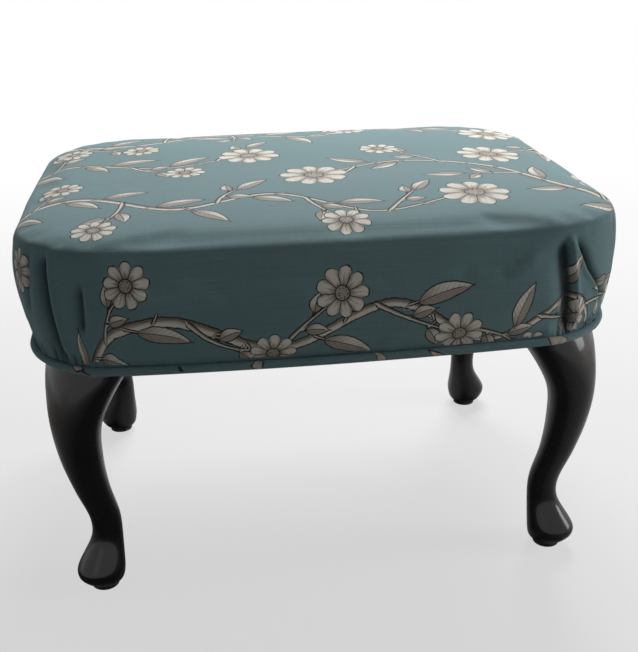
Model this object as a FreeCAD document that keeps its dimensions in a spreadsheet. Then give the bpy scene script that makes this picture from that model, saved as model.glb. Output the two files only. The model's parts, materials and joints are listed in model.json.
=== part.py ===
import FreeCAD, Part
import math
import os

from FreeCAD import Placement, Rotation, Vector

# Upholstered footstool on four cabriole legs.
# The frame is X along the length, Y along the depth (the front is -Y) and Z up.
# The origin lies on the floor under the middle of the seat.

doc = FreeCAD.newDocument("footstool")
sheet = doc.addObject("Spreadsheet::Sheet", "sizes")

# Driving sizes in millimetres: name, value, meaning
SIZES = (
    ("seat_length", 457, "overall length over the piping"),
    ("seat_depth", 354, "overall depth over the piping"),
    ("front_bow", 10, "how far the front and back bow out between the corners"),
    ("end_bow", 5.5, "how far the two ends bow out between the corners"),
    ("corner_radius", 75, "corner of the seat in plan, at the piping"),
    ("leg_length", 202, "leg from its sole to its flat top"),
    ("glide_thickness", 3, "nylon glide under each foot"),
    ("glide_radius", 11, "glide disc"),
    ("glide_nail_radius", 1.2, "nail moulded into a glide"),
    ("glide_nail_length", 12, "how far the nail stands in the foot"),
    ("frame_inset", 11, "from the outer line of the piping to the face of a rail"),
    ("rail_height", 45, "height of the rails and corner blocks"),
    ("rail_stock", 28, "thickness of a rail at its middle"),
    ("block_size", 72, "length of a corner block along each rail"),
    ("tenon_length", 40, "loose tenon, half in the rail and half in the block"),
    ("tenon_height", 26, "loose tenon"),
    ("tenon_thickness", 8, "loose tenon"),
    ("tenon_depth_in", 8, "from the inner face of a rail to its tenons"),
    ("bolt_inset", 36, "from the corner lines of the seat to the axis of a leg bolt"),
    ("bolt_radius", 4, "hanger bolt"),
    ("bolt_in_leg", 34, "screw end of the hanger bolt, in the leg"),
    ("bolt_in_block", 40, "machine end of the hanger bolt, in the block"),
    ("insert_radius", 6, "threaded insert in a corner block"),
    ("insert_length", 20, "threaded insert, up from the block's underside"),
    ("fit", 0.1, "clearance round a tenon, bolt, nail or nut"),
    ("web_width", 50, "jute webbing"),
    ("web_thickness", 1.2, "jute webbing"),
    ("long_web_inset", 82, "from the face of a long rail to the middle of the first strip beside it"),
    ("cross_web_inset", 85.5, "from the face of an end rail to the middle of the first strip beside it"),
    ("web_edge", 8, "from the face of a rail to the end of a strip"),
    ("web_fold", 20, "turned-over end of a strip"),
    ("web_ramp", 10, "length in which a strip climbs over another"),
    ("staple_width", 10, "crown of a staple"),
    ("staple_wire", 0.5, "thickness of a staple's crown"),
    ("staple_leg_width", 1.2, "width of a staple's legs and crown"),
    ("staple_leg", 8, "how deep a staple stands in the wood"),
    ("hessian_thickness", 0.8, "hessian over the webbing"),
    ("hessian_edge", 8, "from the face of a rail to the edge of the hessian"),
    ("layer_gap", 0.1, "air between two layers of the stuffing"),
    ("wood_gap", 0.8, "slack of the wadding round the frame"),
    ("cover_thickness", 0.8, "printed cotton and linen cover"),
    ("wadding_thickness", 5, "polyester wadding between the foam and the cover"),
    ("turn_under", 22, "cover stapled under the rails, from the rail's face"),
    ("swell", 7, "how far the sides stand out past the piping"),
    ("swell_height", 70, "height of the widest line above the underside of the frame"),
    ("shoulder_height", 92, "height of the shoulder above the underside of the frame"),
    ("shoulder_radius", 15, "rounding between the sides and the top"),
    ("crown", 12, "rise of the top from the shoulder to its middle"),
    ("fold_puff", 2.5, "how far a gathered corner swells between its two creases"),
    ("fold_crease", 2.5, "depth of the creases of a gathered corner"),
    ("fold_foot", 48, "width of a gathered corner at the piping"),
    ("fold_head", 10, "width of a gathered corner at its upper end"),
    ("fold_rise", 80, "height of a gathered corner"),
    ("piping_radius", 3, "finished piping"),
    ("cord_radius", 2.1, "cord inside the piping"),
    ("piping_seat", 2, "middle of the piping above the underside of the frame"),
    ("piping_gap", 0.2, "air between the piping and the cover behind it"),
    ("flange_width", 22, "flange of the piping, from the middle of the cord inwards"),
    ("flange_thickness", 0.8, "two layers of cloth in the flange of the piping"),
    ("dust_cover_thickness", 0.6, "black cambric under the seat"),
    ("dust_cover_inset", 13, "from the outer line of the piping to the edge of the dust cover"),
    ("cover_staple_inset", 28, "from the outer line of the piping to the cover's staples"),
    ("dust_staple_inset", 18, "from the outer line of the piping to the dust cover's staples"),
    ("cover_staple_pitch", 75, "between the staples of the cover"),
    ("dust_staple_pitch", 90, "between the staples of the dust cover"),
    ("leg_gap", 1, "air between the cloth under the seat and the legs"),
)

# Sections of a leg: name, datum, height over that datum, distance from the corner lines of
# the seat to the outer faces, width, radius of the outer edge, radius of the other edges.
# The foot and ankle are measured from the sole, the knee from the top.
LEG_SECTIONS = (
    ("sole", "foot", 0, 22.5, 25, 11.5, 11.5),
    ("welt", "foot", 5, 18, 33, 15.5, 15.5),
    ("toe", "foot", 15.5, 14, 38.5, 16, 18),
    ("instep", "foot", 27, 20.5, 32, 14, 15),
    ("throat", "foot", 38, 27, 25.5, 11, 12),
    ("ankle", "foot", 50, 29, 23.5, 10, 11),
    ("shin", "foot", 92, 19.5, 27, 12, 12),
    ("calf", "top", -84, 13, 31.5, 17, 11),
    ("knee_foot", "top", -50, 8, 38, 25, 9),
    ("knee", "top", -22, 6.5, 51, 41, 7),
    ("cap", "top", -7, 7.5, 57.5, 51, 5),
    ("top", "top", 0, 10, 57, 52, 4),
)
SECTION_SIZES = ("height", "inset", "width", "outer_round", "round")

CORNERS = (("front_left", -1, -1), ("front_right", 1, -1), ("back_right", 1, 1), ("back_left", -1, 1))


def fill_sheet():
    rows = [(name, value, note) for name, value, note in SIZES]
    for section, datum, *values in LEG_SECTIONS:
        for what, value in zip(SECTION_SIZES, values):
            rows.append((f"{section}_{what}", value, f"leg section, {datum}"))
    for row, (name, value, note) in enumerate(rows, start=1):
        sheet.set(f"A{row}", str(value))
        sheet.setAlias(f"A{row}", name)
        sheet.set(f"B{row}", note)
    doc.recompute()


fill_sheet()


def size(name):
    return float(sheet.get(name))


def bind(thing, **rules):
    """Bind properties to expressions; a double underscore stands for a dot in a path."""
    for path, rule in rules.items():
        thing.setExpression(path.replace("__", "."), rule)


# Levels and lines that several pieces share, as values and as expressions
UNDERSIDE = "(sizes.leg_length + sizes.glide_thickness)"
CORNER_X = "(sizes.seat_length / 2 - sizes.end_bow)"
CORNER_Y = "(sizes.seat_depth / 2 - sizes.front_bow)"
BLOCK_X = "(sizes.seat_length / 2 - sizes.frame_inset - sizes.block_size)"
BLOCK_Y = "(sizes.seat_depth / 2 - sizes.frame_inset - sizes.block_size)"
LONG_RAIL_Y = "(sizes.seat_depth / 2 - sizes.frame_inset - sizes.rail_stock)"
END_RAIL_X = "(sizes.seat_length / 2 - sizes.frame_inset - sizes.rail_stock)"

underside = size("leg_length") + size("glide_thickness")
rail_top = underside + size("rail_height")
corner_x = size("seat_length") / 2 - size("end_bow")
corner_y = size("seat_depth") / 2 - size("front_bow")
frame_half_length = size("seat_length") / 2 - size("frame_inset")
frame_half_depth = size("seat_depth") / 2 - size("frame_inset")
hessian_level = rail_top + 2 * size("web_thickness") + size("staple_wire") + size("layer_gap")
foam_level = hessian_level + size("hessian_thickness") + size("layer_gap")
leg_top_reach = size("top_inset") + size("top_width")
# Shares of the plan at which the crown is drawn, and the greatest gap that a seam may close
CROWN_RINGS = (0.9, 0.75, 0.55, 0.3)
SEAM = 0.01
FLAT = 1e-6
# Chords along half of each side of the seat, and along each rounded edge of a leg
SIDE_CHORDS = 2
EDGE_CHORDS = 3
# Sides of the piping's section and of the cord's
PIPING_SIDES = 8
CORD_SIDES = 5
# Two sections of a leg further apart than this get one more between them
SECTION_SPAN = 12


# Plan of the seat: four shallow arcs joined by four corner arcs, all tangent
def side_radius(half_chord, bow):
    return (half_chord ** 2 + bow ** 2) / (2 * bow)


def plan_arcs():
    """Centres and radii of the long side, the end and the corner, in the +X +Y quarter."""
    long_radius = side_radius(corner_x, size("front_bow"))
    end_radius = side_radius(corner_y, size("end_bow"))
    long_centre = Vector(0, size("seat_depth") / 2 - long_radius, 0)
    end_centre = Vector(size("seat_length") / 2 - end_radius, 0, 0)
    # The corner's centre is where two circles meet, each short of its side by the corner radius
    to_long = long_radius - size("corner_radius")
    to_end = end_radius - size("corner_radius")
    across = end_centre - long_centre
    span = across.Length
    along = (to_long ** 2 - to_end ** 2 + span ** 2) / (2 * span)
    rise = math.sqrt(to_long ** 2 - along ** 2)
    unit = across / span
    normal = Vector(-unit.y, unit.x, 0)
    meets = [long_centre + unit * along + normal * (rise * turn) for turn in (-1, 1)]
    corner_centre = max(meets, key=lambda point: min(point.x, point.y))
    return (long_centre, long_radius), (end_centre, end_radius), (corner_centre, size("corner_radius"))


def plan_points(level, outset, shrink, gather):
    """Corners of the seat's outline at a level: short chords along its four sides and corners.

    gather is the half width, the depth of the creases and the swelling of a gathered corner:
    the cloth then swells between two creases.
    """
    (long_c, long_r), (end_c, end_r), (corner_c, corner_r) = plan_arcs()
    first = math.atan2((corner_c - end_c).y, (corner_c - end_c).x)
    last = math.atan2((corner_c - long_c).y, (corner_c - long_c).x)
    middle = (first + last) / 2
    half_width, crease, puff = gather or (size("fold_foot") / 2, 0, 0)
    low = middle - half_width / corner_r
    high = middle + half_width / corner_r
    turns = ((first, 0), ((first + low) / 2, 0), (low, -crease), ((low + middle) / 2, puff * 0.7), (middle, puff),
             ((middle + high) / 2, puff * 0.7), (high, -crease), ((high + last) / 2, 0), (last, 0))
    quarter = []
    for step in range(SIDE_CHORDS):
        turn = first * step / SIDE_CHORDS
        quarter.append(end_c + Vector(math.cos(turn), math.sin(turn), 0) * (end_r + outset))
    for turn, extra in turns:
        quarter.append(corner_c + Vector(math.cos(turn), math.sin(turn), 0) * (corner_r + outset + extra))
    for step in range(1, SIDE_CHORDS + 1):
        turn = last + (math.pi / 2 - last) * step / SIDE_CHORDS
        quarter.append(long_c + Vector(math.cos(turn), math.sin(turn), 0) * (long_r + outset))
    points = []
    for turn_x, turn_y in ((1, 1), (-1, 1), (-1, -1), (1, -1)):
        row = [Vector(p.x * turn_x * shrink, p.y * turn_y * shrink, level) for p in quarter]
        if turn_x != turn_y:
            row.reverse()
        points += row[:-1]
    return points


def polygon(points):
    return Part.makePolygon(points + points[:1])


def plan_wire(level, outset=0.0):
    """Outline of the cloth and stuffing, moved out by outset."""
    return polygon(plan_points(level, outset, 1, None))


def facets(rings):
    """Flat faces between rings of equally many corners; a warped quad is split along its shorter diagonal."""
    faces = []
    for here, there in zip(rings, rings[1:]):
        for number in range(len(here)):
            after = (number + 1) % len(here)
            quad = [here[number], here[after], there[after], there[number]]
            normal = (quad[1] - quad[0]).cross(quad[3] - quad[0]).normalize()
            if abs(normal.dot(quad[2] - quad[0])) < FLAT:
                faces.append(Part.Face(polygon(quad)))
                continue
            if (quad[2] - quad[0]).Length <= (quad[3] - quad[1]).Length:
                halves = (quad[:3], quad[2:] + quad[:1])
            else:
                halves = (quad[1:], quad[:2] + quad[3:])
            faces += [Part.Face(polygon(half)) for half in halves]
    return faces


def wood_wire(level, outset):
    """Outline of the frame as four side arcs and four corner arcs, all tangent."""
    (long_c, long_r), (end_c, end_r), (corner_c, corner_r) = plan_arcs()
    to_long = (corner_c - long_c).normalize()
    to_end = (corner_c - end_c).normalize()
    quarter = (end_c + to_end * (end_r + outset),
               corner_c + (to_long + to_end).normalize() * (corner_r + outset),
               long_c + to_long * (long_r + outset))
    edges = []
    for turn_x, turn_y in ((1, 1), (-1, 1), (-1, -1), (1, -1)):
        points = [Vector(point.x * turn_x, point.y * turn_y, level) for point in quarter]
        if turn_x != turn_y:
            points.reverse()
        edges.append(Part.Arc(*points).toShape())
        here = points[-1]
        if turn_x == turn_y:
            crest = Vector(0, (size("seat_depth") / 2 + outset) * turn_y, level)
            across = Vector(-here.x, here.y, level)
        else:
            crest = Vector((size("seat_length") / 2 + outset) * turn_x, 0, level)
            across = Vector(here.x, -here.y, level)
        edges.append(Part.Arc(here, crest, across).toShape())
    return Part.Wire(edges)


def plan_prism(bottom, top, outset):
    return Part.Face(plan_wire(bottom, outset)).extrude(Vector(0, 0, top - bottom))


# The stuffed seat: one surface, followed at several depths under the cover's face
TUCK = 2 * size("piping_radius") + size("piping_gap")
PINCH = size("piping_seat") + size("piping_radius")


def side_outset(rise):
    """How far the side stands out past the piping, at a height over the underside."""
    share = max(0, rise - PINCH) / (size("swell_height") - PINCH)
    return (size("swell") + TUCK) * math.sin(min(1, share) * math.pi / 2) - TUCK


def corner_gather(rise):
    """Half width, crease and puff of the gathered corners at a height over the underside."""
    share = min(1, max(0, rise) / size("fold_rise"))
    half_width = (size("fold_foot") + (size("fold_head") - size("fold_foot")) * share) / 2
    fade = math.sqrt(1 - share)
    return half_width, size("fold_crease") * fade, size("fold_puff") * fade


def pad_rings(depth, start, gathered):
    """Outlines of the seat from a starting level up to the crown."""
    radius = size("shoulder_radius")
    wall_steps = 4
    shoulder_steps = 3
    rises = [start - underside]
    for step in range(1, wall_steps + 1):
        rise = PINCH + (size("swell_height") - PINCH) * step / wall_steps
        if rise > rises[0] + size("swell_height") / (2 * wall_steps):
            rises.append(rise)
    rings = []
    for rise in rises:
        gather = corner_gather(rise) if gathered else None
        rings.append(plan_points(underside + rise, side_outset(rise) - depth, 1, gather))
    gather = corner_gather(size("shoulder_height")) if gathered else None
    for step in range(1, shoulder_steps + 1):
        turn = math.pi / 2 * step / shoulder_steps
        level = underside + size("shoulder_height") - radius + (radius - depth) * math.sin(turn)
        outset = size("swell") - radius + (radius - depth) * math.cos(turn)
        rings.append(plan_points(level, outset, 1, gather))
    for shrink in CROWN_RINGS:
        level = underside + size("shoulder_height") + size("crown") * (1 - shrink ** 2) - depth
        rings.append(plan_points(level, size("swell") - radius, shrink, gather))
    return rings


def skin(depth, start, gathered):
    """The surface of the seat at a depth as faces, closed at the crown and open below."""
    rings = pad_rings(depth, start, gathered)
    return facets(rings) + [Part.Face(polygon(rings[-1]))]


def rim(faces, level):
    """The wire of a skin's open lower edge."""
    edges = []
    for face in faces:
        for edge in face.Edges:
            middle = edge.valueAt((edge.FirstParameter + edge.LastParameter) / 2)
            if max(abs(point.z - level) for point in (edge.Vertexes[0].Point, middle)) < 1e-4:
                edges.append(edge)
    return Part.Wire(Part.__sortEdges__(edges))


def flat_ring(outer, inner):
    return Part.makeFace([outer, inner], "Part::FaceMakerBullseye")


def closed(faces):
    """One solid bounded by faces that meet edge to edge."""
    shell = Part.makeCompound(faces)
    shell.sewShape(SEAM)
    solid = Part.makeSolid(shell.Shells[0])
    if solid.Volume < 0:
        solid.reverse()
    return solid


def corner_boxes(reach, bottom, top):
    """Four boxes that hold all that lies nearer to both corner lines than reach."""
    far = 2 * corner_x
    boxes = []
    for _, turn_x, turn_y in CORNERS:
        low_x = corner_x - reach if turn_x > 0 else -corner_x + reach - far
        low_y = corner_y - reach if turn_y > 0 else -corner_y + reach - far
        boxes.append(Part.makeBox(far, far, top - bottom, Vector(low_x, low_y, bottom)))
    return Part.makeCompound(boxes)


def piece(name, shape):
    """A sub-part whose shape is made from the sheet's sizes directly."""
    feature = doc.addObject("Part::Feature", name)
    feature.Label = name
    feature.Shape = shape
    feature.Placement = Placement()
    return feature


def staple(middle, along, surface, drive):
    """One staple: middle in plan, direction of its crown, the level it bears on, and its drive."""
    half = size("staple_width") / 2
    wide = size("staple_leg_width")
    wire = size("staple_wire")
    crown = Part.makeBox(2 * half, wide, wire, Vector(-half, -wide / 2, 0))
    shape = crown
    for end in (-half, half - wire):
        shape = shape.fuse(Part.makeBox(wire, wide, drive, Vector(end, -wide / 2, -drive)))
    shape = shape.removeSplitter()
    shape.rotate(Vector(), Vector(0, 0, 1), math.degrees(math.atan2(along.y, along.x)))
    if surface <= underside:
        shape = shape.mirror(Vector(), Vector(0, 0, 1))
    shape.translate(Vector(middle.x, middle.y, surface))
    return shape


def edge_staples(inset, pitch, surface, drive):
    """Staples under the rails, following the outline of the seat at an inset."""
    (long_c, long_r), (end_c, end_r), _ = plan_arcs()
    run_x = size("seat_length") / 2 - size("frame_inset") - size("block_size") - size("staple_width")
    run_y = size("seat_depth") / 2 - size("frame_inset") - size("block_size") - size("staple_width")
    staples = []
    for run, centre, radius, long_side in ((run_x, long_c, long_r, True), (run_y, end_c, end_r, False)):
        count = int(run // pitch)
        for step in range(-count, count + 1):
            lean = math.asin(step * pitch / radius)
            for side in (-1, 1):
                if long_side:
                    out = Vector(math.sin(lean), side * math.cos(lean), 0)
                    middle = Vector(0, side * centre.y, 0) + out * (radius - inset)
                else:
                    out = Vector(side * math.cos(lean), math.sin(lean), 0)
                    middle = Vector(side * centre.x, 0, 0) + out * (radius - inset)
                staples.append(staple(middle, Vector(-out.y, out.x, 0), surface, drive))
    return staples


# Legs: a loft of squares whose four edges are rounded, the outer edge more than the others
def round_square(inset, width, outer_round, other_round, level):
    """A square with its outer corner towards (inset, inset) and short chords round its edges."""
    near = inset
    far = inset + width
    corners = ((near, near, outer_round, 180), (far, near, other_round, 270),
               (far, far, other_round, 0), (near, far, other_round, 90))
    points = []
    for x, y, radius, start in corners:
        centre_x = x + radius if x == near else x - radius
        centre_y = y + radius if y == near else y - radius
        for step in range(EDGE_CHORDS + 1):
            turn = math.radians(start + 90 * step / EDGE_CHORDS)
            points.append(Vector(centre_x + radius * math.cos(turn), centre_y + radius * math.sin(turn), level))
    return points


def leg_rings():
    """The named sections of a leg with smooth steps between them, from sole to top."""
    places = []
    rounds = []
    for section, datum, *_ in LEG_SECTIONS:
        base = size("glide_thickness") if datum == "foot" else underside
        inset, width, outer, other = (size(f"{section}_{what}") for what in SECTION_SIZES[1:])
        places.append(Vector(inset, width, base + size(f"{section}_height")))
        rounds.append(Vector(outer / width, other / width, len(rounds)))
    place_line = Part.BSplineCurve()
    place_line.interpolate(Points=places)
    rings = []
    for number, (place, edge) in enumerate(zip(places, rounds)):
        rings.append(round_square(place.x, place.y, edge.x * place.y, edge.y * place.y, place.z))
        if number + 1 < len(places) and places[number + 1].z - place.z > SECTION_SPAN:
            here = place_line.parameter(place)
            there = place_line.parameter(places[number + 1])
            between = place_line.value((here + there) / 2)
            mixed = (edge + rounds[number + 1]) / 2
            rings.append(round_square(between.x, between.y, mixed.x * between.y, mixed.y * between.y, between.z))
    return rings


def leg_blank():
    rings = leg_rings()
    return closed(facets(rings) + [Part.Face(polygon(ring)) for ring in (rings[0], rings[-1])])


FOOT_MIDDLE = "(sizes.sole_inset + sizes.sole_width / 2)"


def make_leg(corner, turn_x, turn_y, blank):
    """One leg: the shaped blank, drilled for its bolt and its glide's nail, turned to its corner."""
    name = f"leg_{corner}"
    shaped = doc.addObject("Part::Feature", f"{name}_shaped")
    shaped.Shape = blank
    bolt_bore = doc.addObject("Part::Cylinder", f"{name}_bolt_bore")
    bind(bolt_bore, Radius="sizes.bolt_radius + sizes.fit", Height="2 * (sizes.bolt_in_leg + sizes.fit)",
         Placement__Base__x="sizes.bolt_inset", Placement__Base__y="sizes.bolt_inset",
         Placement__Base__z=f"{UNDERSIDE} - sizes.bolt_in_leg - sizes.fit")
    nail_bore = doc.addObject("Part::Cylinder", f"{name}_nail_bore")
    bind(nail_bore, Radius="sizes.glide_nail_radius + sizes.fit",
         Height="sizes.glide_thickness + sizes.glide_nail_length + sizes.fit",
         Placement__Base__x=FOOT_MIDDLE, Placement__Base__y=FOOT_MIDDLE)
    bores = doc.addObject("Part::Fuse", f"{name}_bores")
    bores.Base = bolt_bore
    bores.Tool = nail_bore
    leg = doc.addObject("Part::Cut", name)
    leg.Label = name
    leg.Base = shaped
    leg.Tool = bores
    # The leg is shaped at the front left corner and turned to its own
    turn = {(-1, -1): 0, (1, -1): 90, (1, 1): 180, (-1, 1): 270}[(turn_x, turn_y)]
    leg.Placement = Placement(Vector(), Rotation(Vector(0, 0, 1), turn))
    bind(leg, Placement__Base__x=f"{turn_x} * {CORNER_X}", Placement__Base__y=f"{turn_y} * {CORNER_Y}")
    return leg


def make_glides():
    glides = []
    for corner, turn_x, turn_y in CORNERS:
        place = {"Placement__Base__x": f"{turn_x} * ({CORNER_X} - {FOOT_MIDDLE})",
                 "Placement__Base__y": f"{turn_y} * ({CORNER_Y} - {FOOT_MIDDLE})"}
        disc = doc.addObject("Part::Cylinder", f"glide_disc_{corner}")
        bind(disc, Radius="sizes.glide_radius", Height="sizes.glide_thickness", **place)
        nail = doc.addObject("Part::Cylinder", f"glide_nail_{corner}")
        bind(nail, Radius="sizes.glide_nail_radius", Height="sizes.glide_nail_length",
             Placement__Base__z="sizes.glide_thickness", **place)
        glide = doc.addObject("Part::Fuse", f"glide_{corner}")
        glide.Base = disc
        glide.Tool = nail
        glides.append(glide)
    group = doc.addObject("Part::Compound", "foot_glides")
    group.Label = "foot_glides"
    group.Links = glides
    return group


# Fasteners on the bolt axes and in the corner joints
def rods(kind, label, radius, length, low, bore=None):
    """A rod on each bolt axis, or a sleeve where a bore is given, as one group."""
    made = []
    for corner, turn_x, turn_y in CORNERS:
        place = {"Placement__Base__x": f"{turn_x} * ({CORNER_X} - sizes.bolt_inset)",
                 "Placement__Base__y": f"{turn_y} * ({CORNER_Y} - sizes.bolt_inset)",
                 "Placement__Base__z": low}
        rod = doc.addObject("Part::Cylinder", f"{kind}_{corner}")
        bind(rod, Radius=radius, Height=length, **place)
        if bore:
            thread = doc.addObject("Part::Cylinder", f"{kind}_bore_{corner}")
            bind(thread, Radius=bore, Height=length, **place)
            sleeve = doc.addObject("Part::Cut", f"{kind}_sleeve_{corner}")
            sleeve.Base = rod
            sleeve.Tool = thread
            rod = sleeve
        made.append(rod)
    group = doc.addObject("Part::Compound", label)
    group.Label = label
    group.Links = made
    return group


def tenon_boxes(kind, slack):
    """A box in every joint of a rail and a block: the loose tenon, or its mortise with slack."""
    boxes = []
    long_side = f"(sizes.tenon_length + 2 * {slack})"
    high = f"(sizes.tenon_height + 2 * {slack})"
    thick = f"(sizes.tenon_thickness + 2 * {slack})"
    level = f"{UNDERSIDE} + (sizes.rail_height - {high}) / 2"
    for corner, turn_x, turn_y in CORNERS:
        for along in ("x", "y"):
            box = doc.addObject("Part::Box", f"{kind}_{corner}_{along}")
            if along == "x":
                length, width = long_side, thick
                middle_x = f"{turn_x} * {BLOCK_X}"
                middle_y = f"{turn_y} * ({LONG_RAIL_Y} + sizes.tenon_depth_in + sizes.tenon_thickness / 2)"
            else:
                length, width = thick, long_side
                middle_x = f"{turn_x} * ({END_RAIL_X} + sizes.tenon_depth_in + sizes.tenon_thickness / 2)"
                middle_y = f"{turn_y} * {BLOCK_Y}"
            bind(box, Length=length, Width=width, Height=high, Placement__Base__x=f"{middle_x} - {length} / 2",
                 Placement__Base__y=f"{middle_y} - {width} / 2", Placement__Base__z=level)
            boxes.append(box)
    return boxes


# Rails and corner blocks: sawn to the outline of the frame from square stock
def make_frame(cutters):
    outline = doc.addObject("Part::Feature", "frame_outline")
    plan = Part.Face(wood_wire(underside, -size("frame_inset")))
    outline.Shape = plan.extrude(Vector(0, 0, size("rail_height")))
    made = []

    def saw(name, stock, tools):
        sawn = doc.addObject("Part::Common", f"{name}_sawn")
        sawn.Base = stock
        sawn.Tool = outline
        drilled = doc.addObject("Part::Cut", name)
        drilled.Label = name
        drilled.Base = sawn
        drilled.Tool = tools
        made.append(drilled)

    for name, turn in (("rail_front", -1), ("rail_back", 1)):
        stock = doc.addObject("Part::Box", f"{name}_stock")
        low = LONG_RAIL_Y if turn > 0 else "(-sizes.seat_depth / 2)"
        bind(stock, Length=f"2 * {BLOCK_X}", Width=f"sizes.seat_depth / 2 - {LONG_RAIL_Y}", Height="sizes.rail_height",
             Placement__Base__x=f"-{BLOCK_X}", Placement__Base__y=low, Placement__Base__z=UNDERSIDE)
        saw(name, stock, cutters)
    for name, turn in (("rail_left", -1), ("rail_right", 1)):
        stock = doc.addObject("Part::Box", f"{name}_stock")
        low = END_RAIL_X if turn > 0 else "(-sizes.seat_length / 2)"
        bind(stock, Length=f"sizes.seat_length / 2 - {END_RAIL_X}", Width=f"2 * {BLOCK_Y}", Height="sizes.rail_height",
             Placement__Base__x=low, Placement__Base__y=f"-{BLOCK_Y}", Placement__Base__z=UNDERSIDE)
        saw(name, stock, cutters)
    for corner, turn_x, turn_y in CORNERS:
        stock = doc.addObject("Part::Box", f"block_{corner}_stock")
        low_x = BLOCK_X if turn_x > 0 else "(-sizes.seat_length / 2)"
        low_y = BLOCK_Y if turn_y > 0 else "(-sizes.seat_depth / 2)"
        bind(stock, Length=f"sizes.seat_length / 2 - {BLOCK_X}", Width=f"sizes.seat_depth / 2 - {BLOCK_Y}",
             Height="sizes.rail_height", Placement__Base__x=low_x, Placement__Base__y=low_y,
             Placement__Base__z=UNDERSIDE)
        saw(f"corner_block_{corner}", stock, cutters)
    return made


# Webbing: strips that pass over and under one another, with their ends turned over
def web_profile(half_length, crossings):
    """Side view of a strip lying along X; crossings hold a place and whether the strip is on top."""
    thick = size("web_thickness")
    lift = thick + size("layer_gap")
    flat = size("web_width") / 2 + size("web_thickness")
    ramp = size("web_ramp")
    lower = [(-half_length, 0)]
    for place, on_top in crossings:
        if on_top:
            lower += [(place - flat - ramp, 0), (place - flat, lift), (place + flat, lift), (place + flat + ramp, 0)]
    lower.append((half_length, 0))
    fold = half_length - size("web_fold")
    upper = [(x, z + thick) for x, z in reversed(lower[1:-1])]
    ends = [(half_length, 2 * thick), (fold, 2 * thick), (fold, thick)]
    upper = ends + upper + [(-x, z) for x, z in reversed(ends)]
    points = [Vector(x, 0, z) for x, z in lower + upper]
    return Part.Face(polygon(points))


def make_webbing():
    wide = size("web_width")
    last_along = frame_half_length - size("cross_web_inset")
    last_across = frame_half_depth - size("long_web_inset")
    along_places = [share * last_along for share in (-1, -1 / 3, 1 / 3, 1)]
    across_places = [share * last_across for share in (-1, 0, 1)]
    strips = []
    staples = []
    drive = 2 * size("web_thickness") + size("staple_leg")
    surface = rail_top + 2 * size("web_thickness")
    in_from_end = size("web_fold") / 2
    for row, across in enumerate(across_places):
        crossings = [(place, (row + column) % 2 == 0) for column, place in enumerate(along_places)]
        half = frame_half_length - size("web_edge")
        strip = web_profile(half, crossings).extrude(Vector(0, wide, 0))
        strip.translate(Vector(0, across - wide / 2, rail_top))
        strips.append((f"webbing_long_{row + 1}", strip))
        for end in (-1, 1):
            middle = Vector(end * (half - in_from_end), across, 0)
            staples.append(staple(middle, Vector(0, 1, 0), surface, drive))
    for column, along in enumerate(along_places):
        crossings = [(place, (row + column) % 2 == 1) for row, place in enumerate(across_places)]
        half = frame_half_depth - size("web_edge")
        strip = web_profile(half, crossings).extrude(Vector(0, wide, 0))
        strip.rotate(Vector(), Vector(0, 0, 1), 90)
        strip.translate(Vector(along + wide / 2, 0, rail_top))
        strips.append((f"webbing_cross_{column + 1}", strip))
        for end in (-1, 1):
            middle = Vector(along, end * (half - in_from_end), 0)
            staples.append(staple(middle, Vector(1, 0, 0), surface, drive))
    return strips, staples


# Stuffing and cover
WADDING_FACE = size("cover_thickness") + size("layer_gap")
FOAM_FACE = WADDING_FACE + size("wadding_thickness") + size("layer_gap")


def make_foam():
    bottom = polygon(pad_rings(FOAM_FACE, foam_level, False)[0])
    return closed(skin(FOAM_FACE, foam_level, False) + [Part.Face(bottom)])


def make_wadding():
    """Wraps the foam and hangs down past the rails to the underside of the frame."""
    gap = size("layer_gap")
    wood_outset = size("wood_gap") - size("frame_inset")
    outer = skin(WADDING_FACE, underside, True)
    inner = skin(FOAM_FACE - gap, foam_level - gap, False)
    wood_side = facets([plan_points(level, wood_outset, 1, None) for level in (underside, foam_level - gap)])
    bottom = flat_ring(rim(outer, underside), rim(wood_side, underside))
    ledge = flat_ring(rim(inner, foam_level - gap), rim(wood_side, foam_level - gap))
    return closed(outer + inner + wood_side + [bottom, ledge])


def make_cover(notches, pierced):
    """A thin shell with its lower edge turned under the rails between the legs."""
    thick = size("cover_thickness")
    outer = skin(0, underside, True)
    inner = skin(thick, underside, True)
    bottom = flat_ring(rim(outer, underside), rim(inner, underside))
    edge = polygon(plan_points(underside - thick, side_outset(0), 1, corner_gather(0)))
    turned = Part.Face(edge).extrude(Vector(0, 0, thick))
    turned = turned.cut(plan_prism(underside - thick, underside, -size("frame_inset") - size("turn_under")))
    turned = turned.cut(notches).cut(pierced)
    on_top = [face for face in turned.Faces if abs(face.BoundBox.ZMin - underside) < SEAM]
    rest = [face for face in turned.Faces if abs(face.BoundBox.ZMin - underside) >= SEAM]
    under_wood = Part.makeCompound(on_top)
    return closed(outer + inner + rest + bottom.cut(under_wood).Faces + under_wood.cut(bottom).Faces)


def piping_tube(radius, sides):
    """A tube of flat faces that follows the piping's line all round the seat."""
    middle = underside + size("piping_seat")
    rings = []
    for side in range(sides + 1):
        turn = 2 * math.pi * (side % sides) / sides
        outset = radius * math.cos(turn) - size("piping_radius")
        rings.append(plan_points(middle + radius * math.sin(turn), outset, 1, None))
    return closed(facets(rings))


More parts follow.
